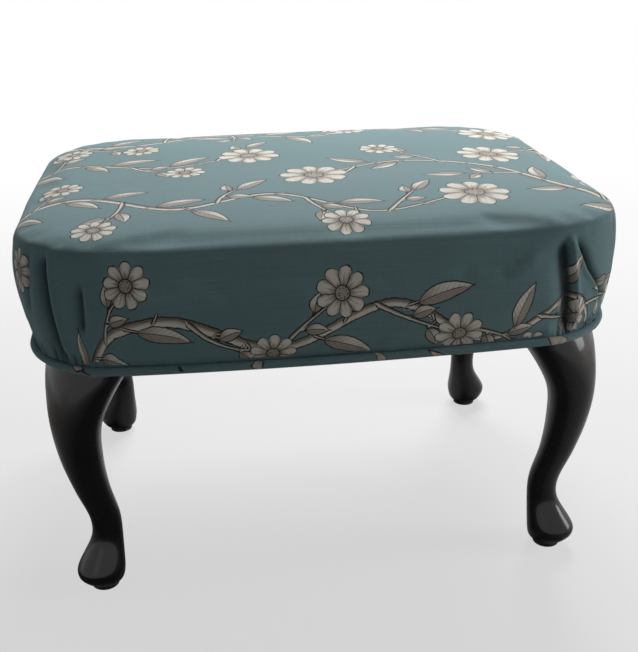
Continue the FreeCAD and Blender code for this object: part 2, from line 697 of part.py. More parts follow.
def make_piping_cover(notches, pierced):
    """The cloth round the cord, with its flange turned in under the frame between the legs."""
    outside = piping_tube(size("piping_radius"), PIPING_SIDES)
    bore = piping_tube(size("cord_radius") + size("fit"), CORD_SIDES)
    top = underside - size("cover_thickness")
    low = top - size("flange_thickness")
    flange = plan_prism(low, top, -size("piping_radius"))
    flange = flange.cut(plan_prism(low, top, -size("piping_radius") - size("flange_width")))
    return outside.fuse(flange.cut(notches).cut(pierced)).cut(bore).removeSplitter()


def build():
    parts = []
    blank = leg_blank()
    for corner, turn_x, turn_y in CORNERS:
        parts.append(make_leg(corner, turn_x, turn_y, blank))
    parts.append(make_glides())
    parts.append(rods("bolt", "hanger_bolts", "sizes.bolt_radius", "sizes.bolt_in_leg + sizes.bolt_in_block",
                      f"{UNDERSIDE} - sizes.bolt_in_leg"))
    parts.append(rods("insert", "threaded_inserts", "sizes.insert_radius", "sizes.insert_length", UNDERSIDE,
                      "sizes.bolt_radius + sizes.fit"))
    insert_bores = rods("insert_hole", "insert_holes", "sizes.insert_radius + sizes.fit",
                        "sizes.rail_height + 2", f"{UNDERSIDE} - 1")
    tenons = doc.addObject("Part::Compound", "corner_tenons")
    tenons.Label = "corner_tenons"
    tenons.Links = tenon_boxes("tenon", "0")
    parts.append(tenons)

    strips, web_staples = make_webbing()
    cloth_bottom = underside - size("cover_thickness")
    flange_bottom = cloth_bottom - size("flange_thickness")
    dust_bottom = flange_bottom - size("dust_cover_thickness")
    wood_drive = size("staple_leg")
    cover_staples = edge_staples(size("cover_staple_inset"), size("cover_staple_pitch"), cloth_bottom,
                                 size("cover_thickness") + wood_drive)
    dust_staples = edge_staples(size("dust_staple_inset"), size("dust_staple_pitch"), dust_bottom,
                                underside - dust_bottom + wood_drive)
    staple_groups = {
        "webbing_staples": Part.makeCompound(web_staples),
        "cover_staples": Part.makeCompound(cover_staples),
        "dust_cover_staples": Part.makeCompound(dust_staples),
    }
    staple_pieces = [piece(name, shape) for name, shape in staple_groups.items()]
    parts += staple_pieces

    cutters = doc.addObject("Part::Compound", "wood_cutters")
    cutters.Links = tenon_boxes("mortise", "sizes.fit") + [insert_bores] + staple_pieces
    parts += make_frame(cutters)

    for name, strip in strips:
        parts.append(piece(name, strip.cut(staple_groups["webbing_staples"])))
    hessian_outset = -size("frame_inset") - size("hessian_edge")
    parts.append(piece("hessian", plan_prism(hessian_level, hessian_level + size("hessian_thickness"), hessian_outset)))
    parts.append(piece("foam_pad", make_foam()))
    parts.append(piece("wadding", make_wadding()))

    notches = corner_boxes(leg_top_reach + size("leg_gap"), dust_bottom - 1, underside)
    pierced = Part.makeCompound([staple_groups["cover_staples"], staple_groups["dust_cover_staples"]])
    parts.append(piece("seat_cover", make_cover(notches, pierced)))
    parts.append(piece("piping_cord", piping_tube(size("cord_radius"), CORD_SIDES)))
    parts.append(piece("piping_cover", make_piping_cover(notches, staple_groups["dust_cover_staples"])))
    dust = plan_prism(dust_bottom, flange_bottom, -size("dust_cover_inset")).cut(notches)
    parts.append(piece("dust_cover", dust.cut(staple_groups["dust_cover_staples"])))
    return parts


def check(parts):
    for thing in doc.Objects:
        if "Invalid" in thing.State or "Error" in thing.State:
            raise RuntimeError(f"{thing.Name} did not recompute: {thing.State}")
    for part in parts:
        if part.Shape.isNull() or not part.Shape.isValid() or not part.Shape.Solids:
            raise RuntimeError(f"{part.Label} has no valid solid")


parts = build()
doc.recompute()
check(parts)
os.makedirs("parts", exist_ok=True)
for part in parts:
    part.Shape.exportStep(f"parts/{part.Label}.step")
    print(f"{part.Label}: {len(part.Shape.Solids)} solids, {part.Shape.Volume / 1000:.2f} cm3")
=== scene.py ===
import json
import math
import random

import bmesh
import bpy
import numpy as np
from bpy.props import FloatProperty, FloatVectorProperty, IntProperty, PointerProperty
from mathutils import Matrix, Vector, noise


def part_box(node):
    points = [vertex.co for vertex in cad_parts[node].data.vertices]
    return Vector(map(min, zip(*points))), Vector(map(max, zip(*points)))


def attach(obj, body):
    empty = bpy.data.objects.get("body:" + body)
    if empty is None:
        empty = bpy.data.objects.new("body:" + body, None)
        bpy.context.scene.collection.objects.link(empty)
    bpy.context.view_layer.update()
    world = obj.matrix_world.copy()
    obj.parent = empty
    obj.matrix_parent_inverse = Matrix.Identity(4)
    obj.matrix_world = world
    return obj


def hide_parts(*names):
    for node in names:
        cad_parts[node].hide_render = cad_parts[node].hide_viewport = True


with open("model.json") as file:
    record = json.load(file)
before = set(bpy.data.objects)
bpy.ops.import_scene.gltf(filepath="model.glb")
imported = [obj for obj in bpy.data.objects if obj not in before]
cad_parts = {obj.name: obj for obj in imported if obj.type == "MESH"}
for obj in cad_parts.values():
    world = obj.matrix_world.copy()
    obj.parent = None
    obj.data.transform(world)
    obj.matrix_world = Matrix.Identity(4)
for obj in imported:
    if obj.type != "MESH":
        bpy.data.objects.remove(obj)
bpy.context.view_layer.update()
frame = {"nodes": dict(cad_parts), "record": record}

bl_info = {
    "name": "Upholstered footstool",
    "version": (1, 0, 0),
    "blender": (4, 5, 0),
    "location": "View3D > Sidebar > Footstool",
    "description": "A piped seat in printed cloth on four lacquered cabriole legs",
    "category": "Object",
}

PIPING_HIGH = Vector(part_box("piping_cover")[1])
DUST_HIGH = Vector(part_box("dust_cover")[1])
LEG_LOW, LEG_HIGH = (Vector(corner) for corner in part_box("leg_front_left"))
UNDERSIDE = LEG_HIGH.z
MM = 0.001
CORNERS = {"front_left": (-1, -1), "front_right": (1, -1), "back_right": (1, 1), "back_left": (-1, 1)}

# Sizes, colours and strengths that may be changed


def metres(name, default, description):
    return FloatProperty(name=name, description=description, default=default, unit="LENGTH")


def bearing(name, degrees, description):
    return FloatProperty(name=name, description=description, default=math.radians(degrees), subtype="ANGLE")


def plain(name, default, description):
    return FloatProperty(name=name, description=description, default=default)


def tint(name, default, description):
    return FloatVectorProperty(name=name, description=description, default=default, subtype="COLOR")


class FootstoolSeat(bpy.types.PropertyGroup):
    front_bow: metres("Front bow", 0.010, "How far the long sides bow out")
    end_bow: metres("End bow", 0.0055, "How far the ends bow out")
    corner_radius: metres("Corner radius", 0.075, "Corner of the seat at the piping")
    swell: metres("Swell", 0.0065, "How far the sides stand out past the piping")
    swell_height: metres("Swell height", 0.070, "Height of the widest line over the frame")
    shoulder_height: metres("Shoulder height", 0.095, "Height of the shoulder over the frame")
    shoulder_radius: metres("Shoulder radius", 0.011, "Rounding between sides and top")
    crown: metres("Crown", 0.0085, "Rise of the top to its middle")
    voxel: metres("Mesh step", 0.005, "Edge of the cloth's mesh before it is divided")
    ease: metres("Ease", 0.003, "Farthest that the stuffing may push the cloth")


class FootstoolPrint(bpy.types.PropertyGroup):
    ground: tint("Ground", (0.150, 0.248, 0.262), "Teal ground of the cloth")
    cream: tint("Cream", (0.80, 0.755, 0.67), "Lightest printed colour")
    taupe: tint("Taupe", (0.26, 0.205, 0.155), "Middle printed colour")
    ink: tint("Ink", (0.018, 0.013, 0.011), "Darkest printed colour")
    seed: IntProperty(name="Seed", description="Places the leaves along the vines", default=11)


class FootstoolLegs(bpy.types.PropertyGroup):
    lacquer: tint("Lacquer", (0.0035, 0.0032, 0.0036), "Ebonised finish")
    worn: tint("Worn wood", (0.045, 0.022, 0.012), "Stained wood where the lacquer is rubbed")
    steps: IntProperty(name="Steps", description="Rings of a leg between sole and top", default=44)


class FootstoolStudio(bpy.types.PropertyGroup):
    azimuth: bearing("Azimuth", -7.45, "Direction of the camera")
    elevation: bearing("Elevation", 23.2, "Height of the camera over the horizon")
    roll: bearing("Roll", -0.9, "Tilt of the picture")
    distance: metres("Distance", 0.880, "From the camera to its target")
    lens: plain("Lens", 53.95, "Focal length on a frame 36 mm high")
    top_light: plain("Top light", 26.0, "Strength of the lamp over the stool")
    front_light: plain("Front light", 0.6, "Strength of the weak front lamp")
    right_light: plain("Right light", 9.0, "Strength of the lamp on the right")
    sky: plain("Sky", 0.09, "Strength of the even light")


# Plan of the seat: four bowed sides joined by four corner arcs, all tangent


class Outline:
    def __init__(self, seat):
        self.half_x = PIPING_HIGH.x
        self.half_y = PIPING_HIGH.y
        corner_x = self.half_x - seat.end_bow
        corner_y = self.half_y - seat.front_bow
        self.corner = Vector((corner_x, corner_y))
        self.long_r = (corner_x ** 2 + seat.front_bow ** 2) / (2 * seat.front_bow)
        self.end_r = (corner_y ** 2 + seat.end_bow ** 2) / (2 * seat.end_bow)
        self.r = seat.corner_radius
        self.long_y = self.half_y - self.long_r
        self.end_x = self.half_x - self.end_r
        to_long = self.long_r - self.r
        to_end = self.end_r - self.r
        across = Vector((self.end_x, -self.long_y))
        span = across.length
        along = (to_long ** 2 - to_end ** 2 + span ** 2) / (2 * span)
        rise = math.sqrt(to_long ** 2 - along ** 2)
        unit = across / span
        meets = [Vector((0, self.long_y)) + unit * along + Vector((-unit.y, unit.x)) * rise * turn
                 for turn in (-1, 1)]
        self.c = max(meets, key=lambda point: min(point.x, point.y))
        self.first = math.atan2(self.c.y, self.c.x - self.end_x)
        self.last = math.atan2(self.c.y - self.long_y, self.c.x)
        self.middle = (self.first + self.last) / 2

    def measure(self, x, y):
        """Outset from the outline, outward normal, and run along it from the nearest corner's diagonal."""
        ax, ay = np.abs(x), np.abs(y)
        turn = np.arctan2(ay - self.c.y, ax - self.c.x)
        corner = (turn >= self.first) & (turn <= self.last)
        to_end = np.hypot(ax - self.end_x, ay)
        to_long = np.hypot(ax, ay - self.long_y)
        end_out = to_end - self.end_r
        long_out = to_long - self.long_r
        end = ~corner & (end_out >= long_out)
        outset = np.where(corner, np.hypot(ax - self.c.x, ay - self.c.y) - self.r,
                          np.where(end, end_out, long_out))
        end_turn = np.arctan2(ay, ax - self.end_x)
        long_turn = np.arctan2(ay - self.long_y, ax)
        angle = np.where(corner, turn, np.where(end, end_turn, long_turn))
        end_run = (self.first - self.middle) * self.r + (end_turn - self.first) * self.end_r
        long_run = (self.last - self.middle) * self.r + (long_turn - self.last) * self.long_r
        run = np.where(corner, (turn - self.middle) * self.r, np.where(end, end_run, long_run))
        return outset, np.cos(angle) * np.sign(x + 1e-12), np.sin(angle) * np.sign(y + 1e-12), run

    def at(self, angles):
        """Points of the outline in the given directions from the middle, by halving."""
        low = np.zeros_like(angles)
        high = np.full_like(angles, 2 * self.half_x)
        halvings = 36
        for _ in range(halvings):
            middle = (low + high) / 2
            outside = self.measure(middle * np.cos(angles), middle * np.sin(angles))[0] > 0
            high = np.where(outside, middle, high)
            low = np.where(outside, low, middle)
        return low * np.cos(angles), low * np.sin(angles)

    def even(self, count, outset):
        """Evenly spaced points round the outline, moved out by outset, with their run."""
        directions = 4000
        angles = np.linspace(0, 2 * math.pi, directions + 1)[:-1]
        x, y = self.at(angles)
        _, nx, ny, _ = self.measure(x, y)
        x, y = x + nx * outset, y + ny * outset
        steps = np.hypot(np.roll(x, -1) - x, np.roll(y, -1) - y)
        runs = np.concatenate([[0], np.cumsum(steps)])
        wanted = np.linspace(0, runs[-1], count, endpoint=False)
        closed_x, closed_y = np.append(x, x[0]), np.append(y, y[0])
        return np.interp(wanted, runs, closed_x), np.interp(wanted, runs, closed_y), wanted


# Small helpers for meshes


def deselect():
    if bpy.context.object and bpy.context.object.mode != "OBJECT":
        bpy.ops.object.mode_set(mode="OBJECT")
    bpy.ops.object.select_all(action="DESELECT")


def activate(obj):
    deselect()
    obj.select_set(True)
    bpy.context.view_layer.objects.active = obj


def name_piece(name):
    obj = bpy.context.object
    obj.name = name
    obj.data.name = name
    return obj


def apply_place(obj):
    activate(obj)
    bpy.ops.object.transform_apply(location=True, rotation=True, scale=True)


def apply_modifiers(obj):
    activate(obj)
    for modifier in list(obj.modifiers):
        bpy.ops.object.modifier_apply(modifier=modifier.name)


def smooth(obj):
    activate(obj)
    bpy.ops.object.shade_smooth()


def points_of(obj):
    flat = np.empty(len(obj.data.vertices) * 3)
    obj.data.vertices.foreach_get("co", flat)
    return flat.reshape(-1, 3)


def set_points(obj, points):
    obj.data.vertices.foreach_set("co", np.ascontiguousarray(points).ravel())
    obj.data.update()


def store(obj, name, values):
    """Keeps a vector for each point of a mesh, for its material."""
    attribute = obj.data.attributes.new(name, "FLOAT_VECTOR", "POINT")
    attribute.data.foreach_set("vector", np.ascontiguousarray(values, dtype=np.float32).ravel())


def turned_copy(obj, name, degrees, place):
    copy = obj.copy()
    copy.data = obj.data.copy()
    copy.name = name
    copy.data.name = name
    bpy.context.collection.objects.link(copy)
    copy.matrix_world = Matrix.Translation(place) @ Matrix.Rotation(math.radians(degrees), 4, "Z")
    apply_place(copy)
    return copy


def ease(value, low, high):
    share = np.clip((value - low) / (high - low), 0, 1)
    return share * share * (3 - 2 * share)


def runs_along(line):
    """Distance of each point of a line from its first one, along the line."""
    return np.concatenate([[0], np.cumsum(np.linalg.norm(np.diff(line, axis=0), axis=1))])


def towards(turn):
    return np.array((math.cos(turn), math.sin(turn)))


def noise_at(*axes):
    """Smooth noise at the places with these coordinates."""
    return np.array([noise.noise(Vector(place)) for place in zip(*np.broadcast_arrays(*axes))])


def edit(obj, select="SELECT"):
    activate(obj)
    bpy.ops.object.mode_set(mode="EDIT")
    bpy.ops.mesh.select_all(action=select)


def leave_edit(normals=False):
    if normals:
        bpy.ops.mesh.select_all(action="SELECT")
        bpy.ops.mesh.normals_make_consistent(inside=False)
    bpy.ops.object.mode_set(mode="OBJECT")


def delete_faces(obj, unwanted):
    """Deletes the faces whose middles are unwanted, in edit mode."""
    mesh = bmesh.from_edit_mesh(obj.data)
    bpy.ops.mesh.select_all(action="DESELECT")
    for face in mesh.faces:
        if unwanted(face.calc_center_median()):
            face.select_set(True)
    bmesh.update_edit_mesh(obj.data)
    bpy.ops.mesh.delete(type="FACE")


def divide(obj):
    divided = obj.modifiers.new("Divide", "SUBSURF")
    divided.levels = divided.render_levels = 1
    apply_modifiers(obj)


def thicken(obj, thickness, offset):
    thick = obj.modifiers.new("Thickness", "SOLIDIFY")
    thick.thickness = thickness
    thick.offset = offset
    apply_modifiers(obj)


def wear(obj, material):
    obj.data.materials.clear()
    obj.data.materials.append(material)


# Wiring of materials


class Wire:
    """A value or colour in a material: arithmetic on it adds the nodes that work it out."""

    def __init__(self, tree, socket):
        self.tree = tree
        self.socket = socket

    def calc(self, operation, *others):
        return calc(self.tree, operation, self, *others)

    def most(self, other):
        return self.calc("MAXIMUM", other)

    def step(self, low, high, from_value=0.0, to_value=1.0):
        """Smooth step from one value to another while this one goes from low to high."""
        node = self.tree.nodes.new("ShaderNodeMapRange")
        node.interpolation_type = "SMOOTHSTEP"
        return fed(self.tree, node, self, low, high, from_value, to_value)

    def fade(self, low, high, from_value=1.0):
        """Smooth step from a value down to nothing while this one goes from low to high."""
        return self.step(low, high, from_value, 0.0)

    def split(self):
        node = self.tree.nodes.new("ShaderNodeSeparateXYZ")
        fed(self.tree, node, self)
        return [Wire(self.tree, socket) for socket in node.outputs]

    def stretched(self, *scale):
        node = self.tree.nodes.new("ShaderNodeMapping")
        node.inputs["Scale"].default_value = scale
        return fed(self.tree, node, self)

    def speckle(self, scale, detail, rough=0.5, distortion=0.0):
        node = self.tree.nodes.new("ShaderNodeTexNoise")
        feed(self.tree, self, node.inputs["Vector"])
        feed(self.tree, scale, node.inputs["Scale"])
        node.inputs["Detail"].default_value = detail
        node.inputs["Roughness"].default_value = rough
        node.inputs["Distortion"].default_value = distortion
        return Wire(self.tree, node.outputs["Fac"])

    def cells(self, scale):
        node = self.tree.nodes.new("ShaderNodeTexVoronoi")
        feed(self.tree, self, node.inputs["Vector"])
        node.inputs["Scale"].default_value = scale
        return Wire(self.tree, node.outputs["Distance"])

    def handled(self, size):
        """Amount of dust and handling, in patches of about the given size."""
        return use_group(self.tree, "handling", Place=self, Size=size)["Amount"]

    def __add__(self, other):
        return self.calc("ADD", other)

    def __sub__(self, other):
        return self.calc("SUBTRACT", other)

    def __mul__(self, other):
        return self.calc("MULTIPLY", other)

    def __truediv__(self, other):
        return self.calc("DIVIDE", other)

    def __rsub__(self, other):
        return calc(self.tree, "SUBTRACT", other, self)

    def __rtruediv__(self, other):
        return calc(self.tree, "DIVIDE", other, self)

    def __abs__(self):
        return self.calc("ABSOLUTE")


def feed(tree, value, socket):
    if isinstance(value, Wire):
        tree.links.new(value.socket, socket)
    elif socket.type == "RGBA":
        socket.default_value = (*value, 1)
    else:
        socket.default_value = value


def fed(tree, node, *terms):
    """Feeds a node's first inputs and gives its first output."""
    for term, socket in zip(terms, node.inputs):
        feed(tree, term, socket)
    return Wire(tree, node.outputs[0])


def calc(tree, operation, *terms):
    node = tree.nodes.new("ShaderNodeMath")
    node.operation = operation
    return fed(tree, node, *terms)


def joined(tree, *axes):
    return fed(tree, tree.nodes.new("ShaderNodeCombineXYZ"), *axes)


def mix(tree, factor, first, second, kind="MIX"):
    node = tree.nodes.new("ShaderNodeMix")
    node.data_type = "RGBA"
    node.blend_type = kind
    first_in, second_in, mixed_out = 6, 7, 2
    feed(tree, factor, node.inputs["Factor"])
    feed(tree, first, node.inputs[first_in])
    feed(tree, second, node.inputs[second_in])
    return Wire(tree, node.outputs[mixed_out])


def blend_shaders(tree, share, first, second, end):
    node = tree.nodes.new("ShaderNodeMixShader")
    feed(tree, share, node.inputs[0])
    tree.links.new(first, node.inputs[1])
    tree.links.new(second, node.inputs[2])
    tree.links.new(node.outputs[0], end)


def attribute(tree, name):
    node = tree.nodes.new("ShaderNodeAttribute")
    node.attribute_name = name
    return Wire(tree, node.outputs["Vector"])


def object_place(tree):
    return Wire(tree, tree.nodes.new("ShaderNodeTexCoord").outputs["Object"])


def new_group(name, inputs, outputs):
    """A node group with its inputs (name: value, or None for a vector), and a way to put out its results."""
    tree = bpy.data.node_groups.new(name, "ShaderNodeTree")
    for label, value in inputs.items():
        kind = "NodeSocketVector" if value is None else "NodeSocketFloat"
        socket = tree.interface.new_socket(label, in_out="INPUT", socket_type=kind)
        if value is not None:
            socket.default_value = value
    for label in outputs:
        tree.interface.new_socket(label, in_out="OUTPUT", socket_type="NodeSocketFloat")
    start = tree.nodes.new("NodeGroupInput").outputs
    end = tree.nodes.new("NodeGroupOutput").inputs

    def put(*results):
        for label, wire in zip(outputs, results):
            feed(tree, wire, end[label])
        return tree

    return [Wire(tree, start[label]) for label in inputs], put


def use_group(tree, name, **inputs):
    if name not in GROUPS:
        GROUPS[name] = MAKERS[name]()
    node = tree.nodes.new("ShaderNodeGroup")
    node.node_tree = GROUPS[name]
    for label, value in inputs.items():
        feed(tree, value, node.inputs[label])
    return {socket.name: Wire(tree, socket) for socket in node.outputs}


class Finish:
    """A material of one Principled BSDF, whose constant values are set on its sockets."""

    def __init__(self, name, **constants):
        self.material = bpy.data.materials.new(name)
        self.material.use_nodes = True
        self.tree = self.material.node_tree
        self.put(**constants)

    def put(self, **values):
        sockets = self.tree.nodes["Principled BSDF"].inputs
        for label, value in values.items():
            feed(self.tree, value, sockets[label.replace("_", " ")])
        return self.material

    def bump(self, height, distance, strength):
        node = self.tree.nodes.new("ShaderNodeBump")
        feed(self.tree, height, node.inputs["Height"])
        node.inputs["Distance"].default_value = distance
        node.inputs["Strength"].default_value = strength
        self.put(Normal=Wire(self.tree, node.outputs[0]))

    def weave(self, place, colour, pitch, slub, distance, strength):
        """Raised yarns: gives the colour with their light and dark."""
        yarn = use_group(self.tree, "threads", Place=place, Pitch=pitch, Slub=slub)
        self.bump(yarn["Height"], distance, strength)
        shade = joined(self.tree, yarn["Shade"], yarn["Shade"], yarn["Shade"])
        return mix(self.tree, 1.0, colour, shade, "MULTIPLY")


# Node groups shared by the finishes


DRAWN = ("Fill", "Ink", "Tone")


def threads_group():
    """Plain weave with thick and thin yarns: a shade about 1 and a height."""
    (place, pitch, slub), put = new_group("Woven yarns", {"Place": None, "Pitch": 0.0006, "Slub": 0.1},
                                          ("Shade", "Height"))
    x, y, _ = place.split()
    turns = 2 * math.pi / pitch
    weave = (y * turns).calc("SINE") * (x * turns).calc("SINE")
    long_slubs = place.stretched(14, 420, 1).speckle(1.0, 3, 0.6)
    cross_slubs = place.stretched(520, 22, 1).speckle(1.0, 3, 0.6)
    knots = place.stretched(30, 700, 1).speckle(1.0, 1, 0.4).step(0.66, 0.78)
    slubs = (long_slubs - 0.5) * 1.3 + (cross_slubs - 0.5) * 0.8 + knots * 0.5
    # Partly painted: the weave term is painted light and shade of the raised crossings, the slubs are the
    # yarns' own thick and thin tone
    shade = slubs * slub + weave * (slub * 0.25)
    return put(shade + 1.0, weave * 0.4 + slubs)


def stem_group():
    """A drawn stem from its run, offset and half width in millimetres: fill, ink and tone."""
    (stem,), put = new_group("Printed stem", {"Stem": None}, DRAWN)
    run, offset, half = stem.split()
    here = joined(stem.tree, run, offset)
    wobble = here.speckle(0.22, 2) - 0.5
    edge = half - abs(offset) + wobble * (half * 0.55)
    fill = edge.step(-0.2, 0.2)
    line = abs(edge).fade(0.38, 0.72)
    side = offset / half.most(0.5)
    grain = here.stretched(0.10, 1.1, 1).speckle(1.0, 3, 0.65)
    strokes = offset * 0.85 + here.stretched(0.07, 0.2, 1).speckle(1.0, 2) * 2.6
    hatch = strokes.calc("FRACT").fade(0.2, 0.34) * (side + grain).step(0.25, 0.9) * half.step(1.3, 2.2)
    ink = line.most(hatch * fill * 0.75)
    known = half.step(0.2, 0.4)
    return put(fill * known, ink * known, (side + grain * 0.9).step(0.15, 1.15))


def leaf_group():
    """A drawn leaf or bud from its own coordinates and its half length in millimetres."""
    (leaf,), put = new_group("Printed leaf", {"Leaf": None}, DRAWN)
    along, across, half = leaf.split()
    here = joined(leaf.tree, along, across, half)
    plump = half.step(7.0, 17.0, 0.60, 0.34)
    belly = (1.0 - along * along).most(0.0)
    width = belly.calc("POWER", 0.75) * plump * (1.0 - along * 0.3)
    centred = across - (belly - 0.6) * 0.10
    edge = (width - abs(centred) + (here.speckle(3.2, 2) - 0.5) * 0.05) * half
    fill = edge.step(-0.2, 0.2)
    line = abs(edge).fade(0.34, 0.68)
    rib = (abs(centred) * half).fade(0.22, 0.5) * along.fade(0.55, 0.8)
    slant = along - abs(centred) * 1.1
    veins = (slant * 4.5).calc("FRACT").fade(0.06, 0.16)
    shaded_half = (centred * half).fade(-1.2, 0.8)
    hatch = (slant * 13.0).calc("FRACT").fade(0.25, 0.45) * (shaded_half * 0.55)
    ink = line.most(rib.most((veins * 0.55).most(hatch)) * fill)
    known = half.step(3.0, 4.0)
    return put(fill * known, ink * known, along.fade(-1.0, 0.1, 0.75).most(shaded_half * 0.6))


def flower_group():
    """A drawn daisy of nine petals about a stippled button, from its own coordinates and radius."""
    (flower,), put = new_group("Printed daisy", {"Flower": None}, DRAWN)
    x, y, size = flower.split()
    shake = joined(flower.tree, x, y, size * 0.3).speckle(2.6, 2) - 0.5
    reach = (x * x + y * y).calc("SQRT")
    turn = (y.calc("ARCTAN2", x) + shake * 0.22) * 4.5
    lobes = abs(turn.calc("COSINE"))
    middles = abs(turn.calc("SINE"))
    outer = lobes.calc("POWER", 0.42) * 0.40 + 0.56 + shake * 0.16
    edge = (outer - reach) * size
    fill = edge.step(-0.2, 0.2)
    line = abs(edge).fade(0.30, 0.62)
    button = (0.27 - reach) * size
    on_button = button.step(-0.15, 0.15)
    on_petals = 1.0 - on_button
    rim = abs(button).fade(0.3, 0.6)
    gap = (lobes * reach * (size * 0.22)).fade(0.22, 0.5) * on_petals
    rib = (middles * reach * (size * 0.22)).fade(0.1, 0.26, 0.7) * on_petals
    rib = rib * (reach + shake).fade(0.55, 0.72)
    dots = joined(flower.tree, x, y).cells(13).fade(0.28, 0.42, 0.9) * on_button
    ink = line.most(gap.most(rib).most(rim.most(dots)) * fill)
    root = (reach + shake * 0.4).fade(0.25, 0.62, 0.9) * on_petals
    lee = (lobes * lobes).fade(0.0, 0.7, 0.6)
    known = size.step(9.0, 12.0)
    return put(fill * known, ink * known, root.most(lee).most(on_button * 0.7))


def handling_group():
    """Soft uneven patches of dust and handling, from 0 to 1."""
    (place, size), put = new_group("Handling", {"Place": None, "Size": 0.05}, ("Amount",))
    return put(place.speckle(1.0 / size, 4).step(0.35, 0.72))


def grain_group():
    """Straight grain along Z with pores: a shade from 0 to 1 and a height."""
    (place,), put = new_group("Wood grain", {"Place": None}, ("Shade", "Height"))
    bands = place.stretched(60, 60, 5).speckle(1.0, 4, 0.6, 1.2)
    pores = place.stretched(1400, 1400, 60).speckle(1.0, 2)
    return put(bands * 0.8 + pores * 0.2, pores.step(0.3, 0.5))


MAKERS = {"threads": threads_group, "stem": stem_group, "leaf": leaf_group, "flower": flower_group,
          "handling": handling_group, "grain": grain_group}
GROUPS = {}


# The printed vines, drawn flat on the cloth in millimetres before it is folded over the seat:
# the points that each passes through, and its width at both ends


VINES = (
    (((-345, -52), (-262, -98), (-186, -66), (-112, -112), (-36, -88), (34, -136), (104, -112)), 5.4, 1.6),
    (((-300, -330), (-214, -262), (-128, -228), (-44, -258), (40, -226), (118, -262), (206, -222),
      (310, -256)), 6.2, 3.0),
    (((350, -120), (262, -142), (196, -92), (150, -30), (78, -8), (14, -36)), 6.4, 1.8),
    (((-330, 196), (-226, 132), (-142, 108), (-66, 142), (16, 112), (92, 146), (176, 108)), 5.6, 1.7),
    (((340, 214), (252, 178), (212, 118), (228, 52), (176, 20)), 4.8, 1.7),
    (((-345, 66), (-268, 26), (-196, 44), (-120, 8), (-58, 30)), 4.6, 1.5),
    (((-290, 300), (-176, 244), (-66, 272), (48, 236), (160, 272), (286, 236)), 5.6, 2.6),
)


HIDDEN = -60  # a width or size at which nothing is drawn
STROKE_MARGIN = 3.6  # how far past its edge a stroke is worked out, over an edge of the mesh
MOTIF_MARGIN = 3  # the same for a leaf or a flower
VINE_FULLNESS = 1.6  # drawn width of a vine over the width in its row


def curve_through(places, spacing=2.0):
    """Points about evenly spaced along a smooth line through places."""
    places = np.array(places, dtype=float)
    ends = np.vstack([2 * places[0] - places[1], places, 2 * places[-1] - places[-2]])
    points = []
    for a, b, c, d in zip(ends, ends[1:], ends[2:], ends[3:]):
        count = max(2, int(np.linalg.norm(c - b) / spacing))
        for share in np.linspace(0, 1, count, endpoint=False):
            points.append(0.5 * (2 * b + (c - a) * share + (2 * a - 5 * b + 4 * c - d) * share ** 2
                                 + (3 * b - a - 3 * c + d) * share ** 3))
    points.append(places[-1])
    return np.array(points)


